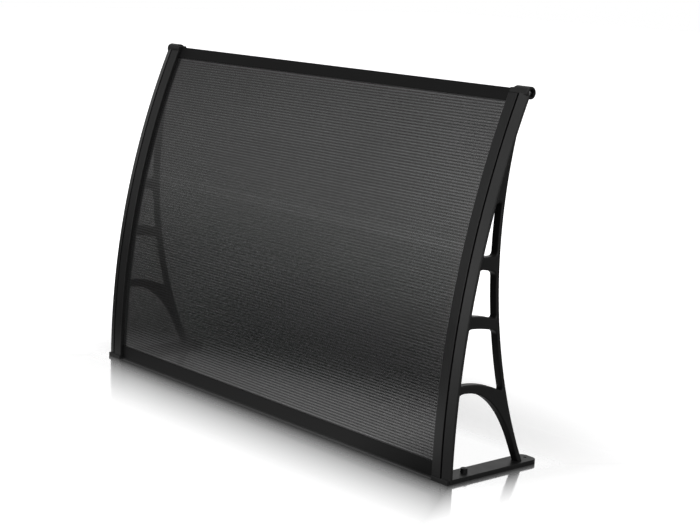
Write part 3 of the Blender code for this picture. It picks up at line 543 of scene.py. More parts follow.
# Two skins joined by a rib every flute. Between ribs both bow out by bow times the sine of half a turn.
# The attribute flute counts flutes from the first rib's middle.
def makeSheet():
    start, end = sheetEnd(rearRailSize, 1), sheetEnd(frontRailSize, -1)
    radius = canopy.radius + sheetMiddle
    cells = int((end - start) * radius / sheet.pitch)
    rib = sheet.rib / radius
    pitch = (end - start - rib) / cells
    share = np.linspace(0.0, 1.0, sheet.bowSteps + 1)
    firsts = start + np.arange(cells) * pitch
    opened = firsts[:, None] + rib + (pitch - rib) * share[None]
    bow = sheet.bow * np.sin(math.pi * share)
    angles = np.concatenate([[start], opened.ravel(), [end]])
    rise = np.concatenate([[0.0], np.tile(bow, cells), [0.0]])
    loops = [skinLoop(angles, sheet.level + rise, sheetBack - rise)]
    front, back = sheet.level - sheet.skin, sheetBack + sheet.skin
    loops += [skinLoop(cell, front + bow, back - bow)[::-1] for cell in opened]
    x = np.linspace(-1.0, 1.0, sheet.columns + 1) * (halfWidth - sheet.inset)
    points, faces, flutes, fronts, ends, count = [], [], [], [], [[], []], 0
    for number, loop in enumerate(loops):
        depth, height = arcPoint(loop[:, 0], loop[:, 1])
        grid = np.stack(np.broadcast_arrays(x[:, None], depth[None], height[None]), axis=-1)
        points.append(grid.reshape(-1, 3))
        flutes.append(np.tile((loop[:, 0] - start - rib / 2) / pitch, len(x)))
        isFront = np.arange(len(loop)) < len(loop) // 2
        fronts.append(np.tile(np.where(isFront, 1.0, sheet.backShare) * (number == 0), len(x)))
        faces += gridFaces(len(x), len(loop), closeColumns=True, start=count)
        ends[0].append(np.arange(len(loop)) + count)
        ends[1].append(np.arange(len(loop)) + count + (len(x) - 1) * len(loop))
        count += len(x) * len(loop)
    for rings in ends:
        faces += sheetEndFaces(rings)
    attributes = {"flute": np.concatenate(flutes), "front": np.concatenate(fronts)}
    meshPiece("smokedSheet", np.concatenate(points), faces, "smoke", ["canopy_sheet"], sheet.smoothAngle,
              attributes)


# End of the sheet, from its rings' point numbers: strips over each skin, and one face over each rib
def sheetEndFaces(rings):
    outer, cells = rings[0], np.array(rings[1:])[:, ::-1]
    half, steps = len(outer) // 2, cells.shape[1] // 2
    front, back = outer[:half], outer[half:][::-1]
    cellFront, cellBack = cells[:, :steps], cells[:, steps:][:, ::-1]
    overFront, overBack = front[1:-1].reshape(cellFront.shape), back[1:-1].reshape(cellBack.shape)
    faces = []
    for over, inner in ((overFront, cellFront), (overBack, cellBack)):
        strips = np.stack([over[:, :-1], over[:, 1:], inner[:, 1:], inner[:, :-1]], axis=-1)
        faces += strips.reshape(-1, 4).tolist()
    ribs = np.stack([overFront[:-1, -1], overFront[1:, 0], cellFront[1:, 0], cellBack[1:, 0],
                     overBack[1:, 0], overBack[:-1, -1], cellBack[:-1, -1], cellFront[:-1, -1]], axis=-1)
    first = np.array([front[0], front[1], cellFront[0, 0], cellBack[0, 0], back[1], back[0]])
    last = np.array([front[-2], front[-1], back[-1], back[-2], cellBack[-1, -1], cellFront[-1, -1]])
    return faces + ribs.tolist() + [first.tolist(), last.tolist()]


makeSheet()
print("sheet ready")


# Side rails of the brackets, cover strips and edge seals

rail = Sizes(
    width=0.053, band=0.022, edge=0.005, footInset=0.0125, groove=0.0045, shelfEnd=0.0413,
    flange=0.0032, rimReach=0.0026, edgeReach=0.0009, innerReach=0.0003, sink=0.006,
    tipOverlap=0.002,
)
cover = Sizes(
    innerLevel=0.0045, wall=0.0022, leg=0.0022, ribStart=0.0355, ribEnd=0.0412,
    edgeReach=0.0009, innerReach=0.0004,
)
seal = Sizes(thickness=0.0012, legEnd=0.0525, reach=0.0003)
clampFront = sheet.level + gap + seal.thickness
clampBack = sheetBack - gap - seal.thickness
channelFloor = clampBack - gap
flangeBack = channelFloor - rail.flange
coverStart = rail.band + rail.groove
sealStart = rail.shelfEnd + gap


# Level of the cover's crown, which falls in a straight line from bandRise to innerLevel
def crownLevel(inset):
    share = (inset - coverStart) / (rail.width - coverStart)
    return canopy.bandRise + (cover.innerLevel - canopy.bandRise) * share


# (inset, level) outline: sloping band outside, shelf under the cover, channel and flange for the sheet
def railSection():
    reach, small = rail.edgeReach, rail.innerReach
    corners = (
        (0.0, -rail.edge, reach), (0.0, 0.0, rail.rimReach), (rail.band, canopy.bandRise, reach),
        (rail.band, sheet.level, small), (rail.shelfEnd, sheet.level, small),
        (rail.shelfEnd, channelFloor, small), (rail.width, channelFloor, small),
        (rail.width, flangeBack, reach), (rail.footInset, flangeBack, small),
        (rail.footInset, -rail.edge, small),
    )
    return roundCorners(corners)


# (inset, level) outline: a crown on two legs, with a rib between them for the screws
def coverSection():
    foot, heel = sheet.level + gap, clampFront + gap
    wall, reach, inner = cover.wall, cover.edgeReach, cover.innerReach
    leg, toe = coverStart + cover.leg, rail.width - cover.leg
    corners = (
        (coverStart, foot, inner), (coverStart, canopy.bandRise, reach),
        (rail.width, cover.innerLevel, reach), (rail.width, heel, inner), (toe, heel, inner),
        (toe, crownLevel(toe) - wall, inner), (cover.ribEnd, crownLevel(cover.ribEnd) - wall, inner),
        (cover.ribEnd, foot, inner), (cover.ribStart, foot, inner),
        (cover.ribStart, crownLevel(cover.ribStart) - wall, inner),
        (leg, crownLevel(leg) - wall, inner), (leg, foot, inner),
    )
    return roundCorners(corners)


# (inset, level) outline: a U round the sheet's side edge
def sealSection():
    inner = sealStart + seal.thickness
    back, front, thick, reach = clampBack, clampFront, seal.thickness, seal.reach
    corners = (
        (sealStart, back, reach), (seal.legEnd, back, reach), (seal.legEnd, back + thick, reach),
        (inner, back + thick, reach), (inner, front - thick, reach), (seal.legEnd, front - thick, reach),
        (seal.legEnd, front, reach), (sealStart, front, reach),
    )
    return roundCorners(corners, 2)


def makeCoversAndSeals():
    low, high = arcAngle(plateThickness + gap), arcAngle(canopy.railTop - gap)
    bothSides("coverStrip", alongArc(coverSection(), low, high), "cover")
    low, high = arcAngle(rearRailSize.high + 2 * gap), arcAngle(frontRailSize.low - 2 * gap)
    bothSides("edgeSeal", alongArc(sealSection(), low, high), "rubber")


makeCoversAndSeals()
print("covers and edge seals ready")


# Front and rear rails

crossRail = Sizes(
    edgeReach=0.0011, innerReach=0.0004, endReach=0.0003, endSteps=2,
    voidWall=0.0016, voidLength=0.008, voidReach=0.0008,
)
wallSeal = Sizes(topReach=0.0006, footReach=0.0002, endReach=0.0003, endSteps=2)
tip = Sizes(
    rise=0.004, radius=0.0132, inset=0.0008, rounding=0.003, roundingSteps=8,
    stepInset=0.044, stepRun=0.003, stepDrop=0.0045, boreRadius=0.0084, boreDepth=0.011,
    lip=0.0008, innerEdge=0.0004, boreCut=0.03, steps=64, screwRadius=0.002,
)


# Place along metres up the tangent from an angle on the arc
def railPoint(angle, along, level):
    depth, height = arcPoint(angle, level)
    return depth + along * math.sin(angle), height + along * math.cos(angle)


def tipCentre():
    height = canopy.railTop + tip.rise
    depth, height = arcPoint(arcAngle(height, sheetMiddle), sheetMiddle)
    return float(depth), float(height)


# Matrix on the tip's axis, this far in from the outer side. Its Z axis points inwards where sign is -1.
def atTip(inset, sign):
    turn = Matrix.Rotation(sign * math.pi / 2, 4, "Y")
    return Matrix.Translation((halfWidth - inset, *tipCentre())) @ turn


# Channel round the sheet's edge, with round outer corners. The slot opens towards sign along the arc.
def crossRailOutline(angle, half, sign):
    thick, reach, inner = seal.thickness, crossRail.edgeReach, crossRail.innerReach
    slot = half - sheet.slotDepth
    corners = (
        (-half, clampBack, reach), (-half, clampFront, reach), (half, clampFront, inner),
        (half, clampFront - thick, inner), (slot, clampFront - thick, inner),
        (slot, clampBack + thick, inner), (half, clampBack + thick, inner), (half, clampBack, inner),
    )
    return np.array([railPoint(angle, sign * along, level) for along, level in roundCorners(corners)])


def circleLoop(centre, radius, steps=32):
    turn = np.arange(steps) * math.tau / steps
    return asColumns(centre[0] + radius * np.cos(turn), centre[1] + radius * np.sin(turn))


# Slab in depth, height and length turned so that its length runs along X from x
def acrossWidth(points, x):
    points = np.asarray(points)
    return asColumns(points[:, 2] + x, points[:, 0], points[:, 1])


# Rail from its outline and the outline of one hole right through its length
def crossRailPiece(name, outline, hole, node):
    length = 2 * (halfWidth - sealStart)
    rim = roundedRim(length, crossRail.endReach, crossRail.endSteps)
    points, faces = slabShape([outline, hole], [rim, [(0.0, 0.0), (0.0, length)]])
    meshPiece(name, acrossWidth(points, -length / 2), faces, "rail", [node])


# The front rail has a round hole for the tips' screws, and the rear rail an oblong hollow below its slot
def makeCrossRails():
    angle, half = railMiddle(frontRailSize)
    bore = circleLoop(tipCentre(), tip.screwRadius + gap)
    crossRailPiece("frontRail", crossRailOutline(angle, half, -1), bore, "front_rail")
    angle, half = railMiddle(rearRailSize)
    wall, reach = crossRail.voidWall, crossRail.voidReach
    low, high = -half + wall, -half + wall + crossRail.voidLength
    corners = ((low, clampBack + wall, reach), (low, clampFront - wall, reach),
               (high, clampFront - wall, reach), (high, clampBack + wall, reach))
    hollow = np.array([railPoint(angle, along, level) for along, level in roundCorners(corners)])
    crossRailPiece("rearRail", crossRailOutline(angle, half, 1), hollow, "rear_rail")


# Strip with rounded top edges in its node's own box
def makeWallSeal():
    low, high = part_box("rear_wall_seal")
    top, foot = wallSeal.topReach, wallSeal.footReach
    corners = ((low.y, low.z, foot), (high.y, low.z, foot), (high.y, high.z, top), (low.y, high.z, top))
    rim = roundedRim(high.x - low.x, wallSeal.endReach, wallSeal.endSteps)
    points, faces = slabShape([roundCorners(corners)], [rim])
    meshPiece("rearWallSeal", acrossWidth(points, low.x), faces, "rubber", ["rear_wall_seal"])


makeCrossRails()
makeWallSeal()
print("cross rails ready")


# Trusses of the brackets

truss = Sizes(
    inset=0.0135, thickness=0.0212, rounding=0.0034, roundingSteps=6, frontLevel=-0.0065,
    topSink=0.0008, topDrop=0.03, sink=0.005, frontChord=-0.0175, waistHeight=0.475,
    waistDepth=0.1225, backChord=0.0095, legChord=0.0125, levelDepth=0.04,
    tops=((0.2035, 0.24), (0.348, 0.255), (0.470, 1.5)),  # height and radius of each crossbar's edge
    undersides=((0.3212, 0.315), (0.4453, 0.255)),
    archTop=0.1855, archSpring=0.04, sliverWidth=0.0176, sliverRoof=1.5,
    sliverFront=(0.045, 0.0095), sliverBack=(0.007, 0.007), corner=0.011,
    steps=90, barSteps=24, sideSteps=30, roofSteps=40, halvings=32, rounds=8,
)
plate = Sizes(
    length=0.2753, tail=0.0395, inset=0.0035, innerInset=0.0524, endRadius=0.016, endSteps=16,
    rimReach=0.0012, rimSteps=4, footReach=0.0003, holeRadius=0.0034, holeSteps=40,
    frontHole=0.0725, rearHole=0.016, bossRadius=0.0076, bossHeight=0.0095, bossReach=0.0008,
    frontHoleEdge=0.0004, rearHoleEdge=0.0006,
)
legSpread = plateFront + plate.length - plate.tail - edgeFront - truss.waistDepth
legHeight = truss.waistHeight - plateThickness
backRadius = (legHeight**2 + legSpread**2) / (2 * legSpread)


# Back edge of the truss: a circle of backRadius whose waist lies nearest the sheet, less a chord
def backDepth(height, chord=0.0):
    drop = np.sqrt((backRadius + chord) ** 2 - (height - truss.waistHeight) ** 2)
    return edgeFront + truss.waistDepth + backRadius - drop


# Depth of the arc's circle at a height, level metres in front of the rails' edge
def frontDepth(height, level):
    radius = canopy.radius + level
    return edgeFront + canopy.radius - np.sqrt(radius**2 - (height - canopy.centreHeight) ** 2)


# Height where the back edge is this far behind the front level, found by halving
def heightOfWidth(width, chord, level, low, high):
    for _ in range(truss.halvings):
        middle = (low + high) / 2
        if backDepth(middle, chord) - frontDepth(middle, level) > width:
            low = middle
        else:
            high = middle
    return low


# Polyline with a length cut from each end
def cutEnds(side, startCut, endCut):
    steps = np.linalg.norm(np.diff(side, axis=0), axis=1)
    at = np.concatenate([[0.0], np.cumsum(steps)])
    kept = np.linspace(startCut, at[-1] - endCut, len(side))
    return np.stack([np.interp(kept, at, side[:, k]) for k in (0, 1)], axis=1)


# Inner points of a corner's curve
def cornerArc(start, corner, end, steps=10):
    t = np.linspace(0.0, 1.0, steps + 1)[1:-1, None]
    return cornerCurve(np.array(start), np.array(corner), np.array(end), t)


# Crossbar edge: level up to levelDepth behind the rail's edge, then falling on a circle of this radius.
# The place where it meets the back chord is found by rounds of falling and going back to the chord.
def barEdge(height, radius):
    levelDepth = edgeFront + truss.levelDepth

    def fallen(depth):
        behind = np.maximum(depth - levelDepth, 0.0)
        return height - radius + np.sqrt(radius**2 - behind**2)

    end = backDepth(height, truss.backChord)
    for _ in range(truss.rounds):
        end = backDepth(fallen(end), truss.backChord)
    depth = np.linspace(frontDepth(height, truss.frontChord), end, truss.barSteps)
    return asColumns(depth, fallen(depth))


# Opening between two crossbar edges, closed by the front and back chords, with round corners
def openingLoop(lower, upper, corners):
    floor, roof = barEdge(*lower)[::-1], barEdge(*upper)
    up = np.linspace(floor[-1, 1], roof[0, 1], truss.sideSteps)
    down = np.linspace(roof[-1, 1], floor[0, 1], truss.sideSteps)
    rising = asColumns(frontDepth(up, truss.frontChord), up)
    falling = asColumns(backDepth(down, truss.backChord), down)
    sides = (rising, roof, falling, floor)
    trimmed = [cutEnds(side, corners[k - 1][1], corners[k][0]) for k, side in enumerate(sides)]
    loop = []
    for k, side in enumerate(trimmed):
        loop += [side, cornerArc(side[-1], sides[k][-1], trimmed[(k + 1) % 4][0])]
    return thinned(np.concatenate(loop))


# Opening above the wall plate: its roof starts level and runs out along the leg's inner side
def archLoop(low):
    radius = backRadius + truss.legChord
    drop = truss.waistHeight - truss.archSpring
    slope = drop / math.sqrt(radius**2 - drop**2)
    top, spring, reach = truss.archTop, truss.archSpring, truss.corner
    crown = (edgeFront + truss.levelDepth, top)
    foot = (backDepth(spring, truss.legChord), spring)
    meeting = (foot[0] - slope * (top - spring), top)
    rise = np.linspace(low, top - reach, truss.barSteps)
    front = asColumns(frontDepth(rise, truss.frontChord), rise)
    first = cornerArc(front[-1], (frontDepth(top, truss.frontChord), top), crown)
    roof = cornerArc(crown, meeting, foot, truss.roofSteps)
    last = np.array([foot, (backDepth(low, truss.legChord), low)])
    return np.concatenate([front, first, [crown], roof, last])[::-1]


# Outline with the arch cut from its foot, then two openings and the narrow one on top
def trussLoops():
    low = plateThickness - truss.sink
    level = flangeBack + truss.topSink
    highest = truss.tops[-1]
    top = heightOfWidth(0.0, 0.0, level, highest[0], canopy.railTop - truss.topDrop)
    up, down = np.linspace(low, top, truss.steps), np.linspace(top, low, truss.steps)
    front = asColumns(frontDepth(up, truss.frontLevel), up)
    back = asColumns(backDepth(down), down)
    loops = [thinned(np.concatenate([front, back, archLoop(low)]))]
    corner = (truss.corner, truss.corner)
    for lower, upper in zip(truss.tops, truss.undersides):
        loops.append(openingLoop(lower, upper, (corner, corner, corner, corner)))
    sliver = heightOfWidth(truss.sliverWidth, truss.backChord, truss.frontChord, highest[0], top)
    corners = (truss.sliverFront, truss.sliverBack, corner, corner)
    loops.append(openingLoop(highest, (sliver, truss.sliverRoof), corners))
    return loops


def trussShape():
    thick = truss.thickness
    rim = roundedRim(thick, truss.rounding, truss.roundingSteps)
    loops = trussLoops()
    points, faces = slabShape(loops, [rim] * len(loops))
    return acrossWidth(points, halfWidth - truss.inset - thick), faces


# Wall plates and tips of the brackets

# Oblong whose two far corners are quarter circles
def plateLoop():
    outer, inner = halfWidth - plate.inset, halfWidth - plate.innerInset
    far = plateFront + plate.length
    setback, rise = quarterRound(plate.endRadius, plate.endSteps)
    right = asColumns(outer - rise, far - setback)
    left = asColumns(inner + setback, far - rise)
    return thinned(np.concatenate([[(inner, plateFront), (outer, plateFront)], right, left]))


# Plate with a straight rear hole and a raised collar round its front hole
def plateShape():
    thick = plateThickness
    setback, rise = quarterRound(plate.rimReach, plate.rimSteps)
    rim = np.concatenate([[(plate.footReach, 0.0), (0.0, plate.footReach)],
                          asColumns(rise, thick - setback)])
    middle = halfWidth - (plate.inset + plate.innerInset) / 2
    frontPlace = (middle, plateFront + plate.frontHole)
    rearPlace = (middle, plateFront + plate.length - plate.rearHole)
    holes = [circleLoop(place, plate.holeRadius, plate.holeSteps) for place in (frontPlace, rearPlace)]
    collar, top = plate.bossRadius - plate.holeRadius, thick + plate.bossHeight
    setback, rise = quarterRound(plate.bossReach, plate.rimSteps)
    shoulder = asColumns(collar - setback, top - rise)
    foot = asColumns(collar + rise, thick + setback)
    edge = plate.frontHoleEdge
    bossRim = np.concatenate([[(0.0, 0.0), (0.0, top - edge), (edge, top)], shoulder, foot])
    edge = plate.rearHoleEdge
    rearRim = [(0.0, 0.0), (0.0, thick - edge), (edge, thick)]
    return slabShape([plateLoop(), *holes], [rim, bossRim, rearRim])


# Roll turned about X: a round rim outside, and a bore with a flat floor for the front rail's screw
def tipShape():
    radius, bore, hole, edge = tip.radius, tip.boreRadius, tip.screwRadius + gap, tip.innerEdge
    length = rail.width - 2 * tip.inset
    floor = tip.boreDepth - tip.inset
    setback, rise = quarterRound(tip.rounding, tip.roundingSteps)
    outer = asColumns(radius - setback, rise)
    setback, rise = quarterRound(tip.lip, tip.roundingSteps)
    lip = asColumns(bore + rise, setback)
    profile = np.concatenate([[(hole, length), (hole, floor), (bore, floor)], lip, outer,
                              [(radius, length - edge), (radius - edge, length)]])
    points, faces = turnedRing(profile, tip.steps)
    return placed(points, atTip(tip.inset, -1)), faces


# Plain object for a Boolean
def solid(name, shape):
    mesh = newMesh(name, *shape)
    faceOutwards(mesh)
    return addObject(name, mesh)


# Joins or cuts two plain objects, keeps the result in the first one and deletes the other
def combined(target, other, operation):
    boolean = target.modifiers.new(operation, "BOOLEAN")
    boolean.operation = operation
    boolean.solver = "EXACT"
    boolean.object = other
    bpy.context.view_layer.update()
    result = bpy.data.meshes.new_from_object(target.evaluated_get(bpy.context.evaluated_depsgraph_get()))
    target.modifiers.clear()
    target.data = result
    bpy.data.objects.remove(other, do_unlink=True)


def cut(target, name, shape):
    combined(target, solid(name, shape), "DIFFERENCE")


room = Sizes(over=0.0006, beyond=0.02, below=0.04, steps=8, railLength=0.04, railTop=0.02)


# Cuts away a prism along X, from its (depth, height) corners, where the end of a cross rail goes
def cutRailRoom(target, corners):
    inside = halfWidth - rail.shelfEnd + room.over
    corners = np.asarray(corners, float)
    ends = (inside - room.railLength, inside)
    rows = np.stack([np.column_stack([np.full(len(corners), x), corners]) for x in ends])
    cut(target, "railRoom", carriedSection(rows))


# Makes room in the roll for the cover strip and the front rail, and a step at its inner end
def cutTip(roll):
    over, beyond = room.over, room.beyond
    low, high = arcAngle(canopy.railTop - room.below), arcAngle(canopy.railTop)
    side, floor, far = rail.band + over, sheet.level - over, rail.width + beyond
    section = ((side, floor), (far, floor), (far, beyond), (side, beyond))
    cut(roll, "coverRoom", alongArc(section, low, high, room.steps))
    angle, half = railMiddle(frontRailSize)
    section = ((-half - beyond, channelFloor - over), (-half - beyond, clampFront + gap),
               (half + gap, clampFront + gap), (half + gap, channelFloor - over))
    cutRailRoom(roll, [railPoint(angle, along, level) for along, level in section])
    depth, height = tipCentre()
    top = height + tip.radius
    low, start, end = top - tip.stepDrop, halfWidth - far, halfWidth - tip.stepInset
    outer = end + tip.stepRun
    profile = ((start, low), (end, low), (outer, top), (outer, top + gap), (start, top + gap))
    rows = np.array([[(x, depth + y, z) for x, z in profile] for y in (-beyond, beyond)])
    cut(roll, "step", carriedSection(rows))


# Rail, truss, wall plate and tip roll, joined into one moulding for each side
def makeBrackets():
    foot, end = arcAngle(plateThickness - rail.sink), arcAngle(canopy.railTop + rail.tipOverlap)
    bracket = solid("bracketRail", alongArc(railSection(), foot, end))
    wallPlate = solid("wallPlate", plateShape())
    front = float(arcPoint(0.0, clampFront + gap)[0])
    back = float(arcPoint(0.0, channelFloor - room.over)[0])
    low, top = rearRailSize.low - gap, room.railTop
    cutRailRoom(wallPlate, ((front, low), (back, low), (back, top), (front, top)))
    roll = solid("tipRoll", tipShape())
    cutTip(roll)
    for piece in (solid("truss", trussShape()), wallPlate, roll):
        combined(bracket, piece, "UNION")
    profile = [(tip.boreRadius, 0.0), (tip.boreRadius, tip.boreCut)]
    points, faces = carriedSection(turnedGrid(profile, tip.steps))
    cut(bracket, "bore", (placed(points, atTip(tip.boreDepth, 1)), faces))
    right = bracket.data.copy()
    bpy.data.objects.remove(bracket, do_unlink=True)
    left = right.copy()
    left.transform(Matrix.Diagonal((-1.0, 1.0, 1.0, 1.0)))
    dressMesh("rightBracket", right, "bracket", ["right_bracket"])
    dressMesh("leftBracket", left, "bracket", ["left_bracket"])


makeBrackets()
print("brackets ready")


# Screws and washers

stripScrew = Sizes(
    head=0.0029, headHeight=0.002, shank=0.0015, inset=0.0384, count=6, margin=0.035,
    reach=0.0012, rearInset=0.0472, rearReach=-0.0065,
)
tipScrew = Sizes(head=0.0052, headHeight=0.003, shank=tip.screwRadius, grip=0.014)
washer = Sizes(radius=0.0072, thickness=0.001, edge=0.0002, steps=64)
screwForm = Sizes(
    turnSteps=40, faceRows=15, faceStart=0.04, domeDrop=0.55, headEdge=0.0001,
    crossWidth=0.17, crossSlope=0.06, crossLength=0.62, crossEnd=0.12, crossDepth=0.5,
    core=0.82, pitch=0.5, threadRows=60, threadStart=0.0002, taper=0.0006, point=0.3,
)


# Pan head screw, its head below z = 0 and its thread above. The face is a dome, which falls with the
# fourth power of the share of the head's radius, less a cross that narrows with depth. The thread is a
# helix: its radius is a triangle wave of height over pitch less turn, and fades out at both ends.
def screwShape(kind, length):
    form, head, tall, shank = screwForm, kind.head, kind.headHeight, kind.shank
    turn = np.arange(form.turnSteps) * math.tau / form.turnSteps
    share = np.linspace(form.faceStart, 1.0, form.faceRows)[:, None]
    x, y = share * np.cos(turn), share * np.sin(turn)
    narrow, wide = np.minimum(np.abs(x), np.abs(y)), np.maximum(np.abs(x), np.abs(y))
    cross = np.clip((form.crossWidth - narrow) / form.crossSlope, 0.0, 1.0)
    cross = cross * np.clip((form.crossLength - wide) / form.crossEnd, 0.0, 1.0)
    dome = -tall * (1 - share**4 * form.domeDrop) + cross * tall * form.crossDepth
    face = np.stack([head * x, head * y, dome], axis=-1)
    edge, core = form.headEdge, form.core
    side = turnedGrid([(head, -edge), (head - edge, 0.0), (shank * core, 0.0)], len(turn))
    threadEnd = length - form.taper
    z = np.linspace(form.threadStart, threadEnd, form.threadRows)[:, None]
    pitch = shank * form.pitch
    phase = (z / pitch - turn[None] / math.tau) % 1.0
    fade = np.clip((threadEnd - z) / (2 * pitch), 0.0, 1.0) * np.clip(z / pitch, 0.0, 1.0)
    radius = shank * (core + (1 - core) * (1 - np.abs(2 * phase - 1)) * fade)
    thread = np.stack([radius * np.cos(turn), radius * np.sin(turn), z * np.ones_like(radius)], axis=-1)
    end = turnedGrid([(form.point * shank, length)], len(turn))
    return carriedSection(np.concatenate([face, side, thread, end]))


def screwPair(name, kind, length, matrix):
    points, faces = screwShape(kind, length)
    bothSides(name, (placed(points, matrix), faces), "steel", 40.0)


# Strip screws stand at even angles along each cover, the rear one between the rail's hollow and slot, and
# the tip's screw and washer on the floor of its bore
def makeScrews():
    first = arcAngle(rearRailSize.high + stripScrew.margin)
    last = arcAngle(frontRailSize.low - stripScrew.margin)
    level = flangeBack - gap
    for number, angle in enumerate(np.linspace(first, last, stripScrew.count), start=1):
        matrix = arcFrame(halfWidth - stripScrew.inset, float(angle), level)
        screwPair(f"stripScrew_{number}", stripScrew, stripScrew.reach - level, matrix)
    angle, half = railMiddle(rearRailSize)
    low = -half + crossRail.voidWall + crossRail.voidLength
    high = half - sheet.slotDepth
    rearAngle = angle + (low + high) / 2 / canopy.radius
    matrix = arcFrame(halfWidth - stripScrew.rearInset, rearAngle, level)
    screwPair("rearRailScrew", stripScrew, stripScrew.rearReach - level, matrix)
    seat = tip.boreDepth - washer.thickness - 2 * gap
    screwPair("frontRailScrew", tipScrew, rail.shelfEnd + tipScrew.grip - seat, atTip(seat, -1))
    thick, hole, wide, edge = washer.thickness, tip.screwRadius + gap, washer.radius, washer.edge
    profile = [(hole, edge), (hole + edge, 0.0), (wide - edge, 0.0), (wide, edge), (wide, thick - edge),
               (wide - edge, thick), (hole + edge, thick), (hole, thick - edge)]
    points, faces = turnedRing(profile, washer.steps)
    bothSides("frontWasher", (placed(points, atTip(seat + gap, -1)), faces), "steel")


makeScrews()
print("screws ready")


# Floor, backdrop and lights

floorLook = Sizes(
    size=40.0, colour=0.88, roughness=0.1, metal=0.96, glow=0.2, farGlow=0.7,
    mirrorReach=0.35, sideShare=1.5,
    near=0.25, far=0.02, nearReach=0.5, farReach=0.86, lampTowards=(-0.57, -0.82),
    lampGlow=0.6, lampSlope=0.48, lampEdge=0.28, lampFade=4.0,
)


# Pale glossy floor. Distance is how far a place lies past the part's sides, times sideShare, or front or
# back. Seen directly, it mirrors by the square of 1 less distance over mirrorReach, and glows more with
# distance until it is white; where it mirrors near the part the glow falls away, which paints shade round
# the footprint. Other rays see painted light: a tone that falls from near to far along lampTowards, and a
# painted pool of lamp light on the near part that grows with x and fades past lampEdge.
def makeFloor():
    def varying(place):
        seen = place.node("ShaderNodeLightPath", output="Is Camera Ray")
        across, ahead = place.axis(0), place.axis(1)
        outside = (across.maths("ABSOLUTE") - halfWidth) * floorLook.sideShare
        distance = outside.maths("MAXIMUM", outside, plateFront - ahead)
        distance = distance.maths("MAXIMUM", distance, ahead - cadHigh.y)
        nearness = (1.0 - distance / floorLook.mirrorReach).clamp()
        mirror = nearness * nearness
        # Painted shade: the glow falls to nothing where the floor mirrors, near the part
        glow = (floorLook.glow + distance.clamp() * floorLook.farGlow) * (1.0 - mirror)
        colour = floorLook.colour + mirror * (1.0 - floorLook.colour)
        # Painted light for other rays: the tone falls from near to far, with a painted pool of lamp light
        # near the part
        reach = across * floorLook.lampTowards[0] + ahead * floorLook.lampTowards[1]
        away = ((reach - floorLook.nearReach) / (floorLook.farReach - floorLook.nearReach)).clamp()
        paintedLampPool = (floorLook.lampGlow + across * floorLook.lampSlope).clamp()
        paintedLampPool = paintedLampPool * (1.0 - (across - floorLook.lampEdge) * floorLook.lampFade).clamp()
        paintedFalloff = floorLook.near + away * (floorLook.far - floorLook.near)
        return {
            "Base Color": seen * colour + (1.0 - seen) * paintedFalloff,
            "Metallic": seen * mirror * floorLook.metal,
            "Emission Color": seen * glow + (1.0 - seen) * (1.0 - away) * paintedLampPool,
        }

    half = floorLook.size / 2
    corners = [(-half, -half, 0), (half, -half, 0), (half, half, 0), (-half, half, 0)]
    mesh = newMesh("floor", corners, [(0, 1, 2, 3)])
    constants = {"Roughness": floorLook.roughness, "Specular IOR Level": 0.0, "Emission Strength": 1.0}
    mesh.materials.append(newMaterial("paleFloor", constants, varying))
    item = addObject("floor", mesh)


backdrop = Sizes(
    horizon=0.15, rise=2.4, highest=0.36, side=-1.6, front=4.0, least=0.1, most=2.0,
    gapAt=1.19, gapWidth=0.17, gapDepth=0.3, sideSlope=2.0, sideFill=0.5,
    backTowards=(-0.75, 0.66), backEdge=0.45, backSlope=3.0, backFill=0.5,
    lowWhite=0.92, highWhite=0.5, whiteSlope=8.0,
)


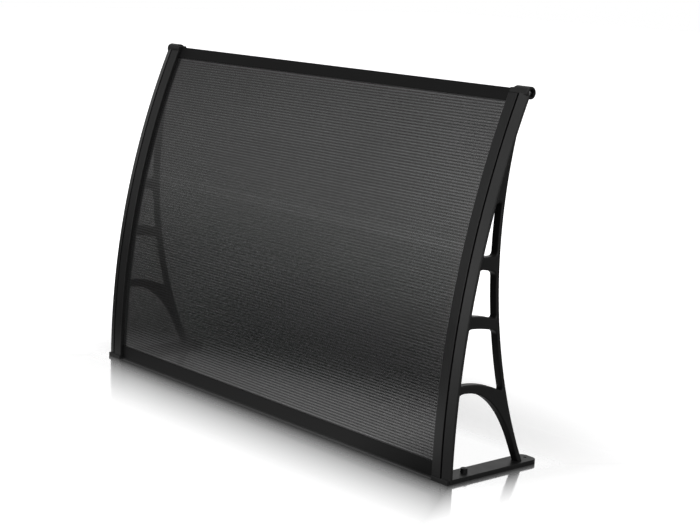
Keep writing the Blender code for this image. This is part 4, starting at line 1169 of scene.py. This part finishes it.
# White to rays from the camera, through the part, and in gloss behind it up to highWhite. Other rays see
# a soft studio: (horizon + rise * z) * (side - front * y), dimmed in a gap at one slope of x over y, plus
# a fill at the far right and one behind the part along backTowards.
def makeWorld():
    world = bpy.data.worlds.new("studio")
    bpy.context.scene.world = world
    world.use_nodes = True
    tree = world.node_tree
    direction = Wire(tree, tree.nodes.new("ShaderNodeTexCoord").outputs["Generated"])
    x, y, z = direction.axis(0), direction.axis(1), direction.axis(2)
    front = (backdrop.side - backdrop.front * y).clamp(backdrop.least, backdrop.most)
    dark = (1.0 - (x / y - backdrop.gapAt).maths("ABSOLUTE") / backdrop.gapWidth).clamp()
    studio = (backdrop.horizon + backdrop.rise * z.clamp(0.0, backdrop.highest)) * front
    studio = studio * (1.0 - dark * backdrop.gapDepth)
    slope = backdrop.sideSlope
    studio = studio + (x * slope).clamp() * (y * slope).clamp() * backdrop.sideFill
    behind = x * backdrop.backTowards[0] + y * backdrop.backTowards[1] - backdrop.backEdge
    behind = (behind * backdrop.backSlope).clamp()
    studio = studio + behind * backdrop.backFill
    glossy = direction.node("ShaderNodeLightPath", output="Is Glossy Ray") * behind
    glossy = glossy * (backdrop.lowWhite + z).clamp()
    glossy = glossy * ((backdrop.highWhite - z) * backdrop.whiteSlope).clamp()
    seen = direction.node("ShaderNodeLightPath", output="Is Camera Ray")
    through = direction.node("ShaderNodeLightPath", output="Is Transmission Ray")
    white = (seen + through + glossy).clamp()
    strength = white + (1.0 - white) * studio
    background = tree.nodes["Background"]
    background.inputs["Color"].default_value = grey(1.0)
    tree.links.new(strength.socket, background.inputs["Strength"])


softBoxes = (
    Sizes(place=(0.6, -1.0, 4.2), aim=(0.0, 0.0, 0.2), width=3.6, height=3.6, power=100.0),
    Sizes(place=(-0.85, -3.9, 0.75), aim=(0.5, 0.0, 0.4), width=1.3, height=0.9, power=36.0),
    Sizes(place=(4.2, -0.7, 1.1), aim=(0.6, 0.0, 0.4), width=0.8, height=1.6, power=45.0),
)


def makeLights():
    for number, box in enumerate(softBoxes, start=1):
        data = bpy.data.lights.new(f"softBox{number}", "AREA")
        data.shape = "RECTANGLE"
        data.size, data.size_y, data.energy = box.width, box.height, box.power
        item = addObject(f"softBox{number}", data)
        item.location = box.place
        towards = Vector(box.aim) - Vector(box.place)
        item.rotation_euler = towards.to_track_quat("-Z", "Y").to_euler()


makeFloor()
makeWorld()
makeLights()
bpy.context.scene.view_settings.view_transform = "Standard"
print("studio ready")
